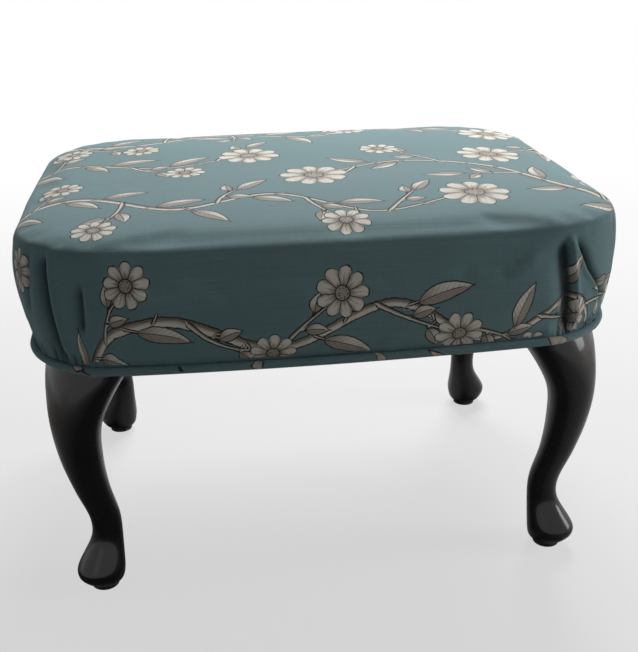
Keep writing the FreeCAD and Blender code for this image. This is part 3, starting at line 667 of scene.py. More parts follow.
class PrintPlan:
    """Where the vines, twigs, leaves and flowers of the print lie on the flat cloth."""

    def __init__(self, seed):
        self.rng = random.Random(seed)
        self.vines = []
        self.twigs = []
        self.leaves = ([], [])
        self.flowers = []
        for places, thick, thin in VINES:
            line = curve_through(places)
            self.vines.append((line, np.linspace(thick, thin, len(line)) / 2 * VINE_FULLNESS))
        for line, _ in self.vines:
            end = line[-1] + (line[-1] - line[-4]) * 2.2
            self.add_flower(end, self.rng.uniform(27, 31))
        for line, _ in self.vines:
            self.grow(line)

    def add_flower(self, place, size):
        if all(np.linalg.norm(place - other) > (size + radius) * 1.25 for other, radius, _ in self.flowers):
            self.flowers.append((place, size, self.rng.uniform(0, 2 * math.pi)))
            return True
        return False

    def clear_of_flowers(self, place, margin):
        return all(np.linalg.norm(place - other) > radius + margin for other, radius, _ in self.flowers)

    def add_leaf(self, base, direction, half):
        middle = base + direction * half
        if not self.clear_of_flowers(middle, half * 0.7):
            return
        for layer in self.leaves:
            if all(np.linalg.norm(middle - other) > (half + size) * 1.12 for other, size, _ in layer):
                layer.append((middle, half, math.atan2(direction[1], direction[0])))
                return

    def add_stalk(self, start, turn, reach, widths, half):
        """A short stalk with a leaf of the given half length at its end."""
        direction = towards(turn)
        stalk = start + direction * reach
        self.twigs.append((np.linspace(start, stalk, len(widths)), widths))
        self.add_leaf(stalk, direction, half)

    def grow(self, line):
        """Leaves and twigs by turns on both sides of a vine."""
        steps = runs_along(line)
        run = self.rng.uniform(16, 30)
        side = self.rng.choice((-1, 1))
        count = 0
        while run < steps[-1] - 14:
            index = int(np.searchsorted(steps, run))
            forward = line[min(index + 2, len(line) - 1)] - line[max(index - 2, 0)]
            heading = math.atan2(forward[1], forward[0])
            count += 1
            if count % 3 == 0:
                self.grow_twig(line[index], heading, side)
            else:
                lean = heading + side * self.rng.uniform(0.55, 1.0)
                reach = self.rng.uniform(6, 9)
                self.add_stalk(line[index], lean, reach, np.linspace(1.2, 0.8, 5), self.rng.uniform(15, 21))
            side = -side
            run += self.rng.uniform(20, 30)

    def grow_twig(self, start, heading, side):
        lean = heading + side * self.rng.uniform(0.7, 1.05)
        length = self.rng.uniform(34, 56)
        bow = side * self.rng.uniform(-0.5, 0.9)
        places = [start]
        for share in (0.35, 0.7, 1.0):
            turn = lean - bow * share
            places.append(places[-1] + towards(turn) * length / 3)
        line = curve_through(places)
        self.twigs.append((line, np.linspace(2.0, 0.9, len(line))))
        tip = line[-1] - line[-4]
        tip = tip / np.linalg.norm(tip)
        for share, turn in ((0.45, -side), (0.75, side)):
            index = int(share * (len(line) - 1))
            angle = math.atan2(tip[1], tip[0]) + turn * self.rng.uniform(0.6, 0.9)
            self.add_stalk(line[index], angle, 5, np.linspace(1.0, 0.7, 4), self.rng.uniform(7.5, 10))
        if not self.add_flower(line[-1] + tip * 15, self.rng.uniform(17, 20)):
            self.add_leaf(line[-1], tip, self.rng.uniform(13, 17))

    def lines(self, cloth, strokes):
        """Run, signed offset and half width of the stroke that reaches furthest over each place."""
        best = np.full(len(cloth), -9.0)
        values = np.zeros((len(cloth), 3))
        values[:, 1] = 50
        values[:, 2] = HIDDEN
        for line, widths in strokes:
            low, high = line.min(axis=0) - 16, line.max(axis=0) + 16
            near = np.flatnonzero(((cloth > low) & (cloth < high)).all(axis=1))
            if not len(near):
                continue
            here = cloth[near]
            runs = runs_along(line)
            gap = np.full(len(near), 1e9)
            found = np.zeros((len(near), 3))
            for number in range(len(line) - 1):
                start, chord = line[number], line[number + 1] - line[number]
                length = np.linalg.norm(chord)
                share = np.clip(((here - start) @ chord) / length ** 2, 0, 1)
                away = here - start - share[:, None] * chord
                distance = np.linalg.norm(away, axis=1)
                closer = distance < gap
                gap[closer] = distance[closer]
                sign = np.sign(chord[0] * away[:, 1] - chord[1] * away[:, 0])
                found[closer, 0] = runs[number] + share[closer] * length
                found[closer, 1] = distance[closer] * sign[closer]
                found[closer, 2] = widths[number] + share[closer] * (widths[number + 1] - widths[number])
            reach = found[:, 2] - gap
            better = (reach > best[near]) & (reach > -STROKE_MARGIN)
            best[near[better]] = reach[better]
            values[near[better]] = found[better]
        return values

    def motifs(self, cloth, layer, reach_along, reach_across):
        """Each place's coordinates in its nearest motif, and that motif's size where it is in reach."""
        values = np.zeros((len(cloth), 3))
        values[:, :2] = 9
        values[:, 2] = HIDDEN
        best = np.full(len(cloth), 1e9)
        for middle, size, turn in layer:
            away = (cloth - middle) / size
            along = away[:, 0] * math.cos(turn) + away[:, 1] * math.sin(turn)
            across = away[:, 1] * math.cos(turn) - away[:, 0] * math.sin(turn)
            distance = np.hypot(away[:, 0], away[:, 1])
            closer = distance < best
            best[closer] = distance[closer]
            margin = MOTIF_MARGIN / size
            inside = (np.abs(along) < reach_along + margin) & (np.abs(across) < reach_across + margin)
            values[closer, 0] = along[closer]
            values[closer, 1] = across[closer]
            values[closer, 2] = np.where(inside, size, HIDDEN)[closer]
        return values


# Seat


# Creases of the gathered corners: the corner, the line as (run, rise) from its foot to its head in
# millimetres, depth, and the widths of the sides towards the end and towards the long face
CREASES = (
    ("front_left", ((13, 10), (11, 22), (10, 60), (8, 90)), 7.5, 9.0, 2.0),
    ("front_left", ((33, 34), (35, 50), (36, 74)), 3.4, 5.0, 2.4),
    ("front_left", ((-15, 42), (-12, 60), (-9, 92)), 2.2, 2.6, 4.5),
    ("front_left", ((-30, 4), (-28, 40)), 1.8, 4.0, 5.0),
    ("front_right", ((30, 10), (37, 40), (42, 62), (45, 84)), 8.0, 1.8, 9.0),
    ("front_right", ((3, 30), (9, 40), (24, 58), (37, 84)), 4.6, 3.4, 1.8),
    ("front_right", ((-22, 4), (-16, 50), (-12, 88)), 3.2, 4.5, 3.0),
    ("back_left", ((14, 8), (11, 40), (9, 88)), 6.0, 2.0, 9.0),
    ("back_left", ((-20, 6), (-14, 60), (-6, 86)), 4.0, 5.0, 2.2),
    ("back_right", ((-12, 8), (-10, 44), (-10, 88)), 6.0, 9.0, 2.0),
    ("back_right", ((22, 6), (18, 50), (9, 84)), 3.8, 2.4, 5.0),
)
SIDE_SHARE = 0.72  # part of a profile that is the side of the seat
SHOULDER_SHARE = 0.28  # part of it that is the shoulder
TUCK = 0.0038  # how far the foot of the cover is drawn in behind the piping
PINCH = 0.004  # height over which it stays drawn in
CLEAR = 0.0002  # air between the frame's underside and the cloth on it
STUFFING_FRAMES = 14


def seat_profile(seat, share):
    """Outset and rise of the side and shoulder, from the foot at 0 to the edge of the crown at 1."""
    rise = seat.swell_height * share / SIDE_SHARE
    wall = np.clip((rise - PINCH) / (seat.swell_height - PINCH), 0, 1)
    wall_out = (seat.swell + TUCK) * np.sin(wall * math.pi / 2) - TUCK
    over = np.clip((share - SIDE_SHARE) / SHOULDER_SHARE, 0, 1)
    turn = over * math.pi / 2
    radius = seat.shoulder_radius
    top = seat.shoulder_height - radius
    arc_out = seat.swell - radius + radius * np.cos(turn)
    arc_rise = seat.swell_height + (top - seat.swell_height) * ease(over, 0, 0.3) + radius * np.sin(turn)
    on_side = share < SIDE_SHARE
    return np.where(on_side, wall_out, arc_out), np.where(on_side, rise, arc_rise)


def shape_pad(obj, seat, outline, shrink):
    """Moves the points of a divided cube of half size 1 onto the stuffed form."""
    points = points_of(obj)
    a, b, c = points.T
    reach = np.maximum(np.maximum(np.abs(a), np.abs(b)), 1e-9)
    angles = np.arctan2(b / reach * outline.half_y, a / reach * outline.half_x)
    x, y = outline.at(angles)
    _, nx, ny, _ = outline.measure(x, y)
    side = np.abs(c) < 0.999
    share = np.where(side | (c < 0), (c + 1) / 2, 1.0)
    out, rise = seat_profile(seat, share)
    out = out - shrink
    x, y = x + nx * out, y + ny * out
    top = c > 0.999
    plan = np.where(side, 1.0, reach)
    rise = np.where(top, seat.shoulder_height + seat.crown * (1 - reach ** 3) - shrink, rise)
    set_points(obj, np.column_stack([x * plan, y * plan, UNDERSIDE + CLEAR + rise]))


def stuff(obj, seat):
    """Lets the stuffing push the cloth out a little, held along its foot."""
    start = points_of(obj)
    held = obj.vertex_groups.new(name="held")
    foot = start[:, 2] < UNDERSIDE + 0.008
    held.add(np.flatnonzero(foot).tolist(), 1.0, "REPLACE")
    cloth = obj.modifiers.new("Cloth", "CLOTH")
    cloth.settings.use_pressure = True
    cloth.settings.uniform_pressure_force = 4
    cloth.settings.effector_weights.gravity = 0
    cloth.settings.vertex_group_mass = held.name
    cloth.settings.tension_stiffness = 25
    cloth.settings.bending_stiffness = 2.0
    for number in range(1, STUFFING_FRAMES + 1):
        bpy.context.scene.frame_set(number)
    shaped = obj.evaluated_get(bpy.context.evaluated_depsgraph_get())
    flat = np.empty(len(shaped.data.vertices) * 3)
    shaped.data.vertices.foreach_get("co", flat)
    move = flat.reshape(-1, 3) - start
    length = np.linalg.norm(move, axis=1, keepdims=True)
    move *= np.minimum(1, seat.ease / np.maximum(length, 1e-9))
    obj.modifiers.remove(cloth)
    bpy.context.scene.frame_set(1)
    set_points(obj, start + move)
    obj.vertex_groups.remove(held)


def fold_corners(points, outline):
    """Creases, puffs and small gathers of the cover: the moved points, and the painted shade of each, darkest
    deep in the creases and gathers.
    """
    x, y, z = points.T
    outset, nx, ny, run = outline.measure(x, y)
    rise = (z - UNDERSIDE) / MM
    run = run / MM
    push = np.zeros(len(points))
    painted_crease_shade = np.zeros(len(points))
    for corner, line, depth, end_width, long_width in CREASES:
        sign_x, sign_y = CORNERS[corner]
        here = (x * sign_x > 0) & (y * sign_y > 0)
        runs, rises = np.array(line, dtype=float).T
        away = run - np.interp(rise, rises, runs)
        foot, head = rises[0], rises[-1]
        fade = ease(rise, foot - 8, foot + 6) * (1 - ease(rise, head - 14, head + 4))
        steep, gentle = min(end_width, long_width), max(end_width, long_width)
        towards_end = away < 0
        width = np.where(towards_end, end_width, long_width)
        groove = np.exp(-np.abs(away / width) ** 1.6)
        lip_side = -1 if end_width < long_width else 1
        lip = np.exp(-((away * lip_side - steep * 2.2) / (steep * 1.7)) ** 2)
        push += here * fade * depth * (0.22 * lip - groove)
        # Painted shade along the creases, darkest on their lines and fading over about the width of each side
        shade = np.where(towards_end == (end_width > long_width), 0.85, 0.8) * width
        painted_crease_shade += here * fade * np.exp(-np.abs(away / shade) ** 1.3) * min(1, depth / 5)
    middle = np.exp(-(run / 24) ** 2) * ease(rise, 4, 20) * (1 - ease(rise, 44, 88))
    push += middle * 2.2
    near_corner = np.exp(-(run / 46) ** 4)
    ripple = noise_at(run * 0.30, np.sign(x) * 7.0, np.sign(y) * 5.0)
    small = noise_at(run * 0.75, rise * 0.05, np.sign(x) * 3.0 + np.sign(y))
    gathers = near_corner * (ripple * 3.4 + small * 1.6) * np.exp(-((rise - 8) / 8) ** 2)
    push += gathers
    # Painted shade in the hollows of the gathers
    painted_crease_shade += np.clip(-gathers / 2.5, 0, 0.6)
    soft = np.array([noise.noise(Vector(p) * 21) for p in points])
    tug = noise_at(run * 0.09, 2.0, np.sign(y))
    push += soft * 0.6 + tug * 0.7 * np.exp(-((rise - 10) / 12) ** 2)
    wall = ease(outset, -0.026, -0.010) * (rise > 0.5)
    amount = (push * wall * MM)[:, None]
    moved = points + np.column_stack([nx, ny, np.zeros(len(points))]) * amount
    return moved, np.clip(painted_crease_shade * wall, 0, 1)


def unrolled(points, seat, outline):
    """Places on the flat cloth, in millimetres, of points on the seat: sides are laid out flat."""
    x, y, z = points.T
    outset, nx, ny, _ = outline.measure(x, y)
    shares = np.linspace(0, 1, 160)
    out, rise = seat_profile(seat, shares)
    steps = np.hypot(np.diff(out), np.diff(rise))
    from_top = np.concatenate([[0], np.cumsum(steps[::-1])])[::-1]
    rise_here = z - UNDERSIDE
    edge_out = seat.swell - seat.shoulder_radius
    on_side = np.interp(rise_here, rise, from_top)
    past_edge = outset - edge_out
    on_arc = np.maximum(np.clip(past_edge, 0, None), on_side * ease(outset, edge_out, 0))
    drop = np.where(rise_here > seat.swell_height + 0.002, on_arc, on_side)
    beyond = outset > edge_out
    drop = np.where(beyond, drop, 0)
    plain_x = x - nx * past_edge
    plain_y = y - ny * past_edge
    flat_x = np.where(beyond, plain_x + nx * drop, x)
    flat_y = np.where(beyond, plain_y + ny * drop, y)
    return np.column_stack([flat_x, flat_y]) / MM


CLOTH = {"Roughness": 0.86, "Specular_IOR_Level": 0.28, "Sheen_Weight": 0.22, "Sheen_Roughness": 0.42,
         "Sheen_Tint": (0.75, 0.88, 0.92)}
CLOTH_YARNS = {"pitch": 0.0007, "slub": 0.2, "distance": 0.00022, "strength": 0.6}
PRINT_LAYERS = (("vine", "stem"), ("twig", "stem"), ("leaf_low", "leaf"), ("leaf_high", "leaf"),
                ("flower", "flower"))


def cloth_material(colours):
    finish = Finish("Printed cloth", **CLOTH)
    tree = finish.tree
    cloth = attribute(tree, "cloth")
    faded = [min(1, part * 1.35) for part in colours.ground]
    shaded = [part * 0.1 for part in colours.ground]
    colour = mix(tree, cloth.handled(0.16) * 0.10, colours.ground, faded)
    for name, kind in PRINT_LAYERS:
        drawn = use_group(tree, kind, **{kind.title(): attribute(tree, name)})
        colour = mix(tree, drawn["Fill"], colour, mix(tree, drawn["Tone"], colours.cream, colours.taupe))
        colour = mix(tree, drawn["Ink"], colour, colours.ink)
    colour = finish.weave(cloth, colour, **CLOTH_YARNS)
    # Painted shade: the cloth darkens towards a tenth of its ground colour in the creases and gathers
    crease_shade_mask = cloth.split()[2].step(0.05, 0.75, 0.0, 0.93)
    return finish.put(Base_Color=mix(tree, crease_shade_mask, colour, shaded))


class FOOTSTOOL_OT_seat(bpy.types.Operator):
    """Stuffed seat in printed cloth, gathered at its corners"""
    bl_idname = "footstool.seat"
    bl_label = "Seat"

    def execute(self, context):
        seat = context.scene.footstool_seat
        colours = context.scene.footstool_print
        outline = Outline(seat)
        deselect()
        bpy.ops.mesh.primitive_cube_add(size=2, location=(0, 0, 0))
        pad = name_piece("padded_seat")
        edit(pad)
        bpy.ops.mesh.subdivide(number_cuts=63)
        leave_edit()
        shape_pad(pad, seat, outline, 0.0012)
        pad.data.remesh_voxel_size = seat.voxel
        pad.data.use_remesh_preserve_volume = True
        activate(pad)
        bpy.ops.object.voxel_remesh()
        smoother = pad.modifiers.new("Smooth", "CORRECTIVE_SMOOTH")
        smoother.iterations = 3
        smoother.use_only_smooth = True
        apply_modifiers(pad)
        stuff(pad, seat)
        divide(pad)
        self.divide_corners(pad, outline)
        points = points_of(pad)
        points[:, 2] = np.maximum(points[:, 2], UNDERSIDE + CLEAR)
        cloth = unrolled(points, seat, outline)
        folded, painted_crease_shade = fold_corners(points, outline)
        set_points(pad, folded)
        plan = PrintPlan(colours.seed)
        # The third number of the cloth attribute is the painted shade of the creases and gathers
        store(pad, "cloth", np.column_stack([cloth * MM, painted_crease_shade]))
        store(pad, "vine", plan.lines(cloth, plan.vines))
        store(pad, "twig", plan.lines(cloth, plan.twigs))
        store(pad, "leaf_low", plan.motifs(cloth, plan.leaves[0], 1.0, 0.62))
        store(pad, "leaf_high", plan.motifs(cloth, plan.leaves[1], 1.0, 0.62))
        store(pad, "flower", plan.motifs(cloth, plan.flowers, 1.04, 1.04))
        smooth(pad)
        wear(pad, cloth_material(colours))
        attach(pad, "root")
        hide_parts("seat_cover", "wadding", "foam_pad")
        return {"FINISHED"}

    def divide_corners(self, pad, outline):
        """Finer mesh where the cloth is creased."""
        edit(pad, "DESELECT")
        mesh = bmesh.from_edit_mesh(pad.data)
        centres = np.array([face.calc_center_median() for face in mesh.faces])
        outset, _, _, run = outline.measure(centres[:, 0], centres[:, 1])
        chosen = (np.abs(run) < 0.045) & (outset > -0.012) & (centres[:, 2] < UNDERSIDE + 0.085)
        mesh.faces.ensure_lookup_table()
        for index in np.flatnonzero(chosen):
            mesh.faces[index].select_set(True)
        bmesh.update_edit_mesh(pad.data)
        bpy.ops.mesh.subdivide(number_cuts=1, smoothness=0.6)
        leave_edit()


# Piping


def piping_material(colours):
    finish = Finish("Piping cloth", **CLOTH)
    tree = finish.tree
    cloth = attribute(tree, "cloth")
    bits = cloth.stretched(26, 60, 1).speckle(1.0, 2)
    printed = mix(tree, cloth.speckle(300, 2), colours.cream, colours.taupe)
    colour = mix(tree, bits.step(0.60, 0.615), colours.ground, printed)
    colour = mix(tree, abs(bits - 0.607).fade(0.006, 0.013), colour, colours.ink)
    colour = mix(tree, cloth.split()[1].step(0.0062, 0.0078, 0.0, 0.55), colour, colours.ink)
    return finish.put(Base_Color=finish.weave(cloth, colour, **CLOTH_YARNS))


WELT_RADIUS = 0.003
WELT_POINTS = 420
FLANGE = 0.022


class FOOTSTOOL_OT_piping(bpy.types.Operator):
    """Piping sewn round the foot of the seat, with its flange turned in under the frame"""
    bl_idname = "footstool.piping"
    bl_label = "Piping"

    def execute(self, context):
        seat = context.scene.footstool_seat
        colours = context.scene.footstool_print
        outline = Outline(seat)
        level = PIPING_HIGH.z - WELT_RADIUS
        x, y, runs = outline.even(WELT_POINTS, -WELT_RADIUS)
        _, nx, ny, corner_run = outline.measure(x, y)
        deselect()
        bpy.ops.curve.primitive_nurbs_circle_add(radius=outline.half_x, location=(0, 0, 0))
        rope = name_piece("piping_welt")
        rope.data.splines.clear()
        spline = rope.data.splines.new("NURBS")
        spline.points.add(WELT_POINTS - 1)
        spline.order_u = 3
        spline.use_cyclic_u = True
        near = np.exp(-(corner_run / 0.04) ** 4)
        lift = noise_at(x * 30, y * 30, 3.0) * 0.0004 + near * noise_at(runs * 160, 0.0, 9.0) * 0.0007
        push = noise_at(x * 40, y * 40, 8.0) * 0.0003
        places = np.column_stack([x + nx * push, y + ny * push, level + lift, np.ones(WELT_POINTS)])
        spline.points.foreach_set("co", places.ravel())
        spline.points.foreach_set("radius", 1 + 0.06 * noise_at(runs * 90, 4.0, 4.0))
        rope.data.bevel_depth = WELT_RADIUS
        rope.data.bevel_resolution = 4
        rope.data.resolution_u = 2
        rope.data.use_fill_caps = False
        activate(rope)
        bpy.ops.object.convert(target="MESH")
        rope = bpy.context.object
        edit(rope)
        bpy.ops.mesh.remove_doubles(threshold=1e-6)
        leave_edit(normals=True)
        points = points_of(rope)
        outset, _, _, _ = outline.measure(points[:, 0], points[:, 1])
        around = np.arctan2(points[:, 2] - level, outset + WELT_RADIUS) * WELT_RADIUS
        angle = np.arctan2(points[:, 1] / outline.half_y, points[:, 0] / outline.half_x)
        length = angle * (outline.half_x + outline.half_y) / 2
        bias = math.radians(45)
        slant_x = length * math.cos(bias) - around * math.sin(bias)
        slant_y = length * math.sin(bias) + around * math.cos(bias)
        store(rope, "cloth", np.column_stack([slant_x, slant_y, np.zeros(len(points))]))
        smooth(rope)
        wear(rope, piping_material(colours))
        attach(rope, "root")
        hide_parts("piping_cover")
        flange = self.make_flange(outline)
        wear(flange, rope.data.materials[0])
        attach(flange, "root")
        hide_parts("piping_cover")
        return {"FINISHED"}

    def make_flange(self, outline):
        """The piping's flange: a flat band under the rails, left open round the legs."""
        x, y, _ = outline.even(WELT_POINTS, -WELT_RADIUS)
        _, nx, ny, _ = outline.measure(x, y)
        deselect()
        bpy.ops.mesh.primitive_circle_add(vertices=WELT_POINTS, radius=1, location=(0, 0, 0))
        band = name_piece("piping_flange")
        set_points(band, np.column_stack([x, y, np.full(WELT_POINTS, DUST_HIGH.z)]))
        edit(band)
        bpy.ops.mesh.extrude_edges_move(TRANSFORM_OT_translate={"value": (0, 0, 0)})
        leave_edit()
        points = points_of(band)
        points[WELT_POINTS:, 0] = x - nx * FLANGE
        points[WELT_POINTS:, 1] = y - ny * FLANGE
        set_points(band, points)
        edit(band)
        leg_x, leg_y = outline.corner - Vector((0.068, 0.068))
        delete_faces(band, lambda middle: abs(middle.x) > leg_x and abs(middle.y) > leg_y)
        leave_edit(normals=True)
        thicken(band, 0.0007, 1)
        points = points_of(band)
        store(band, "cloth", np.column_stack([points[:, 0], points[:, 1], np.zeros(len(points))]))
        return band


# Legs: height over the sole, inset from the corner lines, width, outer and other roundings, in mm


LEG_SECTIONS = (
    (0, 23.4, 23.2, 11.4, 11.4),
    (1.6, 21.2, 27.6, 13.6, 13.6),
    (5, 18, 33, 15.5, 15.5),
    (10, 14.6, 37.4, 16.4, 17.6),
    (15.5, 14, 38.5, 16, 18),
    (21, 16.8, 35.8, 14.8, 16.6),
    (27, 20.5, 32, 14, 15),
    (38, 27, 25.5, 11, 12),
    (50, 29, 23.5, 10, 11),
    (92, 19.5, 27, 12, 12),
    (118, 13, 31.5, 17, 11),
    (152, 8, 38, 25, 9),
    (180, 6.5, 51, 41, 7),
    (195, 7.5, 57.5, 51, 5),
    (202, 10, 57, 52, 4),
)


def leg_ring(inset, width, outer, other, count):
    """Points round a square with rounded edges, at even turns about its middle."""
    far = inset + width
    middle = inset + width / 2
    edge = []
    for x, y, radius, start in ((inset, inset, outer, 180), (far, inset, other, 270), (far, far, other, 0),
                                (inset, far, other, 90)):
        centre_x = x + radius if x == inset else x - radius
        centre_y = y + radius if y == inset else y - radius
        for degrees in range(start, start + 91, 5):
            turn = math.radians(degrees)
            edge.append((centre_x + radius * math.cos(turn) - middle,
                         centre_y + radius * math.sin(turn) - middle))
    edge = np.array(edge)
    turns = np.arctan2(edge[:, 1], edge[:, 0])
    order = np.argsort(turns)
    wanted = (np.arange(count) + 0.5) / count * 2 * math.pi - math.pi
    reach = np.interp(wanted, turns[order], np.hypot(edge[:, 0], edge[:, 1])[order], period=2 * math.pi)
    for _ in range(3):
        reach = (np.roll(reach, 1) + 2 * reach + np.roll(reach, -1)) / 4
    return np.column_stack([middle + reach * np.cos(wanted), middle + reach * np.sin(wanted)])


def lacquer_material(colours):
    finish = Finish("Ebonised wood", Specular_IOR_Level=0.15, Coat_Roughness=0.08)
    tree = finish.tree
    place = object_place(tree)
    grain = use_group(tree, "grain", Place=place)
    height = place.split()[2]
    knee = height.step(0.135, 0.165) * height.fade(0.185, 0.2)
    rubbed = place.stretched(1, 1, 0.45).handled(0.045).step(0.45, 0.95) * (knee + 0.12)
    rubbed = rubbed.calc("MINIMUM", 1.0)
    wood = mix(tree, grain["Shade"], [part * 0.5 for part in colours.worn], colours.worn)
    uneven = place.stretched(70, 70, 22).speckle(1.0, 2)
    finish.bump(grain["Height"] * 0.1 + uneven, 0.0006, 0.22)
    return finish.put(Base_Color=mix(tree, rubbed * 0.7, colours.lacquer, wood),
                      Roughness=place.handled(0.02) * 0.12 + 0.22 + rubbed * 0.15,
                      Coat_Weight=0.42 - rubbed * 0.3)


class FOOTSTOOL_OT_legs(bpy.types.Operator):
    """Four cabriole legs with pad feet"""
    bl_idname = "footstool.legs"
    bl_label = "Legs"

    def execute(self, context):
        legs = context.scene.footstool_legs
        outline = Outline(context.scene.footstool_seat)
        count = 48
        sections = np.array(LEG_SECTIONS, dtype=float)
        heights = np.unique(np.concatenate([np.linspace(0, 202, legs.steps), sections[:5, 0]]))
        lines = [self.smooth_line(heights, sections[:, 0], sections[:, column]) for column in (1, 2, 3, 4)]
        deselect()
        bpy.ops.mesh.primitive_circle_add(vertices=count, radius=0.02, fill_type="NGON", location=(0, 0, 0))
        leg = name_piece("cabriole_front_left")
        edit(leg)
        centre = np.zeros(2)
        for number, height in enumerate(heights):
            if number:
                bpy.ops.mesh.extrude_region_move(TRANSFORM_OT_translate={"value": (0, 0, 0.004)})
            ring = leg_ring(*(line[number] for line in lines), count) * MM
            mesh = bmesh.from_edit_mesh(leg.data)
            face = next(face for face in mesh.faces if face.select)
            loop = sorted(face.verts,
                          key=lambda vert: math.atan2(vert.co.y - centre[1], vert.co.x - centre[0]))
            for vert, place in zip(loop, ring):
                vert.co = (*place, LEG_LOW.z + height * MM)
            centre = ring.mean(axis=0)
            bmesh.update_edit_mesh(leg.data)
        leave_edit(normals=True)
        divide(leg)
        free = leg.vertex_groups.new(name="free")
        rise = (points_of(leg)[:, 2] - LEG_LOW.z) / MM
        free.add(np.flatnonzero((rise > 0.5) & (rise < 196)).tolist(), 1.0, "REPLACE")
        rounder = leg.modifiers.new("Rounder", "SMOOTH")
        rounder.factor = 0.5
        rounder.iterations = 14
        rounder.vertex_group = free.name
        apply_modifiers(leg)
        leg.vertex_groups.clear()
        smooth(leg)
        wear(leg, lacquer_material(legs))
        corner_x, corner_y = outline.corner
        turns = {"front_left": 0, "front_right": 90, "back_right": 180, "back_left": 270}
        made = {}
        for name, degrees in turns.items():
            sign_x, sign_y = CORNERS[name]
            place = Vector((sign_x * corner_x, sign_y * corner_y, 0))
            made[name] = turned_copy(leg, f"cabriole_{name}_leg", degrees, place)
        bpy.data.objects.remove(leg)
        for name, piece in made.items():
            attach(piece, "root")
            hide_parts(f"leg_{name}")
        return {"FINISHED"}

    def smooth_line(self, wanted, places, values):
        """A smooth line through values that does not overshoot them."""
        slopes = np.gradient(values, places)
        chords = np.diff(values) / np.diff(places)
        for number in range(1, len(values) - 1):
            if chords[number - 1] * chords[number] <= 0:
                slopes[number] = 0
            else:
                limit = 3 * min(abs(chords[number - 1]), abs(chords[number]))
                slopes[number] = math.copysign(min(abs(slopes[number]), limit), slopes[number])
        index = np.clip(np.searchsorted(places, wanted, side="right") - 1, 0, len(places) - 2)
        width = places[index + 1] - places[index]
        share = (wanted - places[index]) / width
        first = (1 + 2 * share) * (1 - share) ** 2 * values[index]
        first += share * (1 - share) ** 2 * slopes[index] * width
        second = share ** 2 * (3 - 2 * share) * values[index + 1]
        second += share ** 2 * (share - 1) * slopes[index + 1] * width
        return first + second


# Underside


def cambric_material():
    finish = Finish("Black cambric", Roughness=0.9, Specular_IOR_Level=0.2, Sheen_Weight=0.1)
    place = object_place(finish.tree)
    colour = mix(finish.tree, place.handled(0.05) * 0.5, (0.012, 0.012, 0.013), (0.035, 0.033, 0.032))
    return finish.put(Base_Color=finish.weave(place, colour, 0.0009, 0.3, 0.0003, 0.5))


class FOOTSTOOL_OT_dust_cover(bpy.types.Operator):
    """Black cambric stapled under the frame"""
    bl_idname = "footstool.dust_cover"
    bl_label = "Dust cover"

    def execute(self, context):
        outline = Outline(context.scene.footstool_seat)
        deselect()
        bpy.ops.mesh.primitive_grid_add(x_subdivisions=110, y_subdivisions=84, size=2, location=(0, 0, 0))
        cloth = name_piece("cambric_dust_cover")
        turned_in = 0.002
        points = points_of(cloth) * np.array((DUST_HIGH.x + turned_in, DUST_HIGH.y + turned_in, 1))
        points[:, 2] = DUST_HIGH.z - 0.0001
        set_points(cloth, points)
        edit(cloth)
        corner_x, corner_y = outline.corner
        reach = 0.0685
        for sign_x, sign_y in CORNERS.values():
            self.cut_notch(cloth, sign_x * (corner_x - reach), sign_y * (corner_y - reach), sign_x, sign_y)
        leave_edit()
        points = points_of(cloth)
        outset, nx, ny, _ = outline.measure(points[:, 0], points[:, 1])
        over = np.maximum(outset + 0.0125, 0)
        points[:, 0] -= nx * over
        points[:, 1] -= ny * over
        inside = ease(-outset, 0.012, 0.09)
        x, y, _ = points.T
        sag = noise_at(x * 9, y * 9, 2.0)
        folds = noise_at(x * 26, y * 8, 5.0)
        points[:, 2] -= inside * (0.0016 + 0.0006 * sag) + ease(-outset, 0.014, 0.03) * 0.0004 * np.abs(folds)
        set_points(cloth, points)
        thicken(cloth, 0.0005, -1)
        smooth(cloth)
        wear(cloth, cambric_material())
        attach(cloth, "root")
        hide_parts("dust_cover")
        return {"FINISHED"}

    def cut_notch(self, cloth, line_x, line_y, sign_x, sign_y):
        """Cuts the sheet along both inner lines of a leg and takes the corner away."""
        for place, normal in (((line_x, 0, 0), (1, 0, 0)), ((0, line_y, 0), (0, 1, 0))):
            bpy.ops.mesh.select_all(action="SELECT")
            bpy.ops.mesh.bisect(plane_co=place, plane_no=normal)
        delete_faces(cloth, lambda middle: (middle.x - line_x) * sign_x > 0
                     and (middle.y - line_y) * sign_y > 0)


# Finishes of the pieces that keep their own shape


def beech_material():
    finish = Finish("Beech", Roughness=0.62, Specular_IOR_Level=0.35)
    place = object_place(finish.tree)
    grain = use_group(finish.tree, "grain", Place=place.stretched(0.2, 1, 1))
    flecks = place.stretched(120, 900, 900).speckle(1.0, 2).step(0.62, 0.7, 0.0, 0.4)
    colour = mix(finish.tree, grain["Shade"], (0.36, 0.22, 0.12), (0.62, 0.44, 0.27))
    finish.bump(grain["Height"], 0.0002, 0.4)
    return finish.put(Base_Color=mix(finish.tree, flecks, colour, (0.30, 0.17, 0.09)))


def steel_material():
    finish = Finish("Zinc plated steel", Metallic=1.0)
    place = object_place(finish.tree)
    bloom = place.handled(0.004)
    finish.bump(place.stretched(900, 900, 120).speckle(1.0, 2), 0.0001, 0.3)
    return finish.put(Base_Color=mix(finish.tree, bloom, (0.60, 0.61, 0.62), (0.42, 0.43, 0.42)),
                      Roughness=bloom * 0.2 + 0.28)


def nylon_material():
    finish = Finish("Moulded nylon", Specular_IOR_Level=0.4)
    place = object_place(finish.tree)
    scuffs = place.handled(0.005)
    finish.bump(place.speckle(1800, 2), 0.0001, 0.25)
    return finish.put(Base_Color=mix(finish.tree, scuffs, (0.028, 0.024, 0.02), (0.075, 0.068, 0.06)),
                      Roughness=scuffs * 0.25 + 0.42)


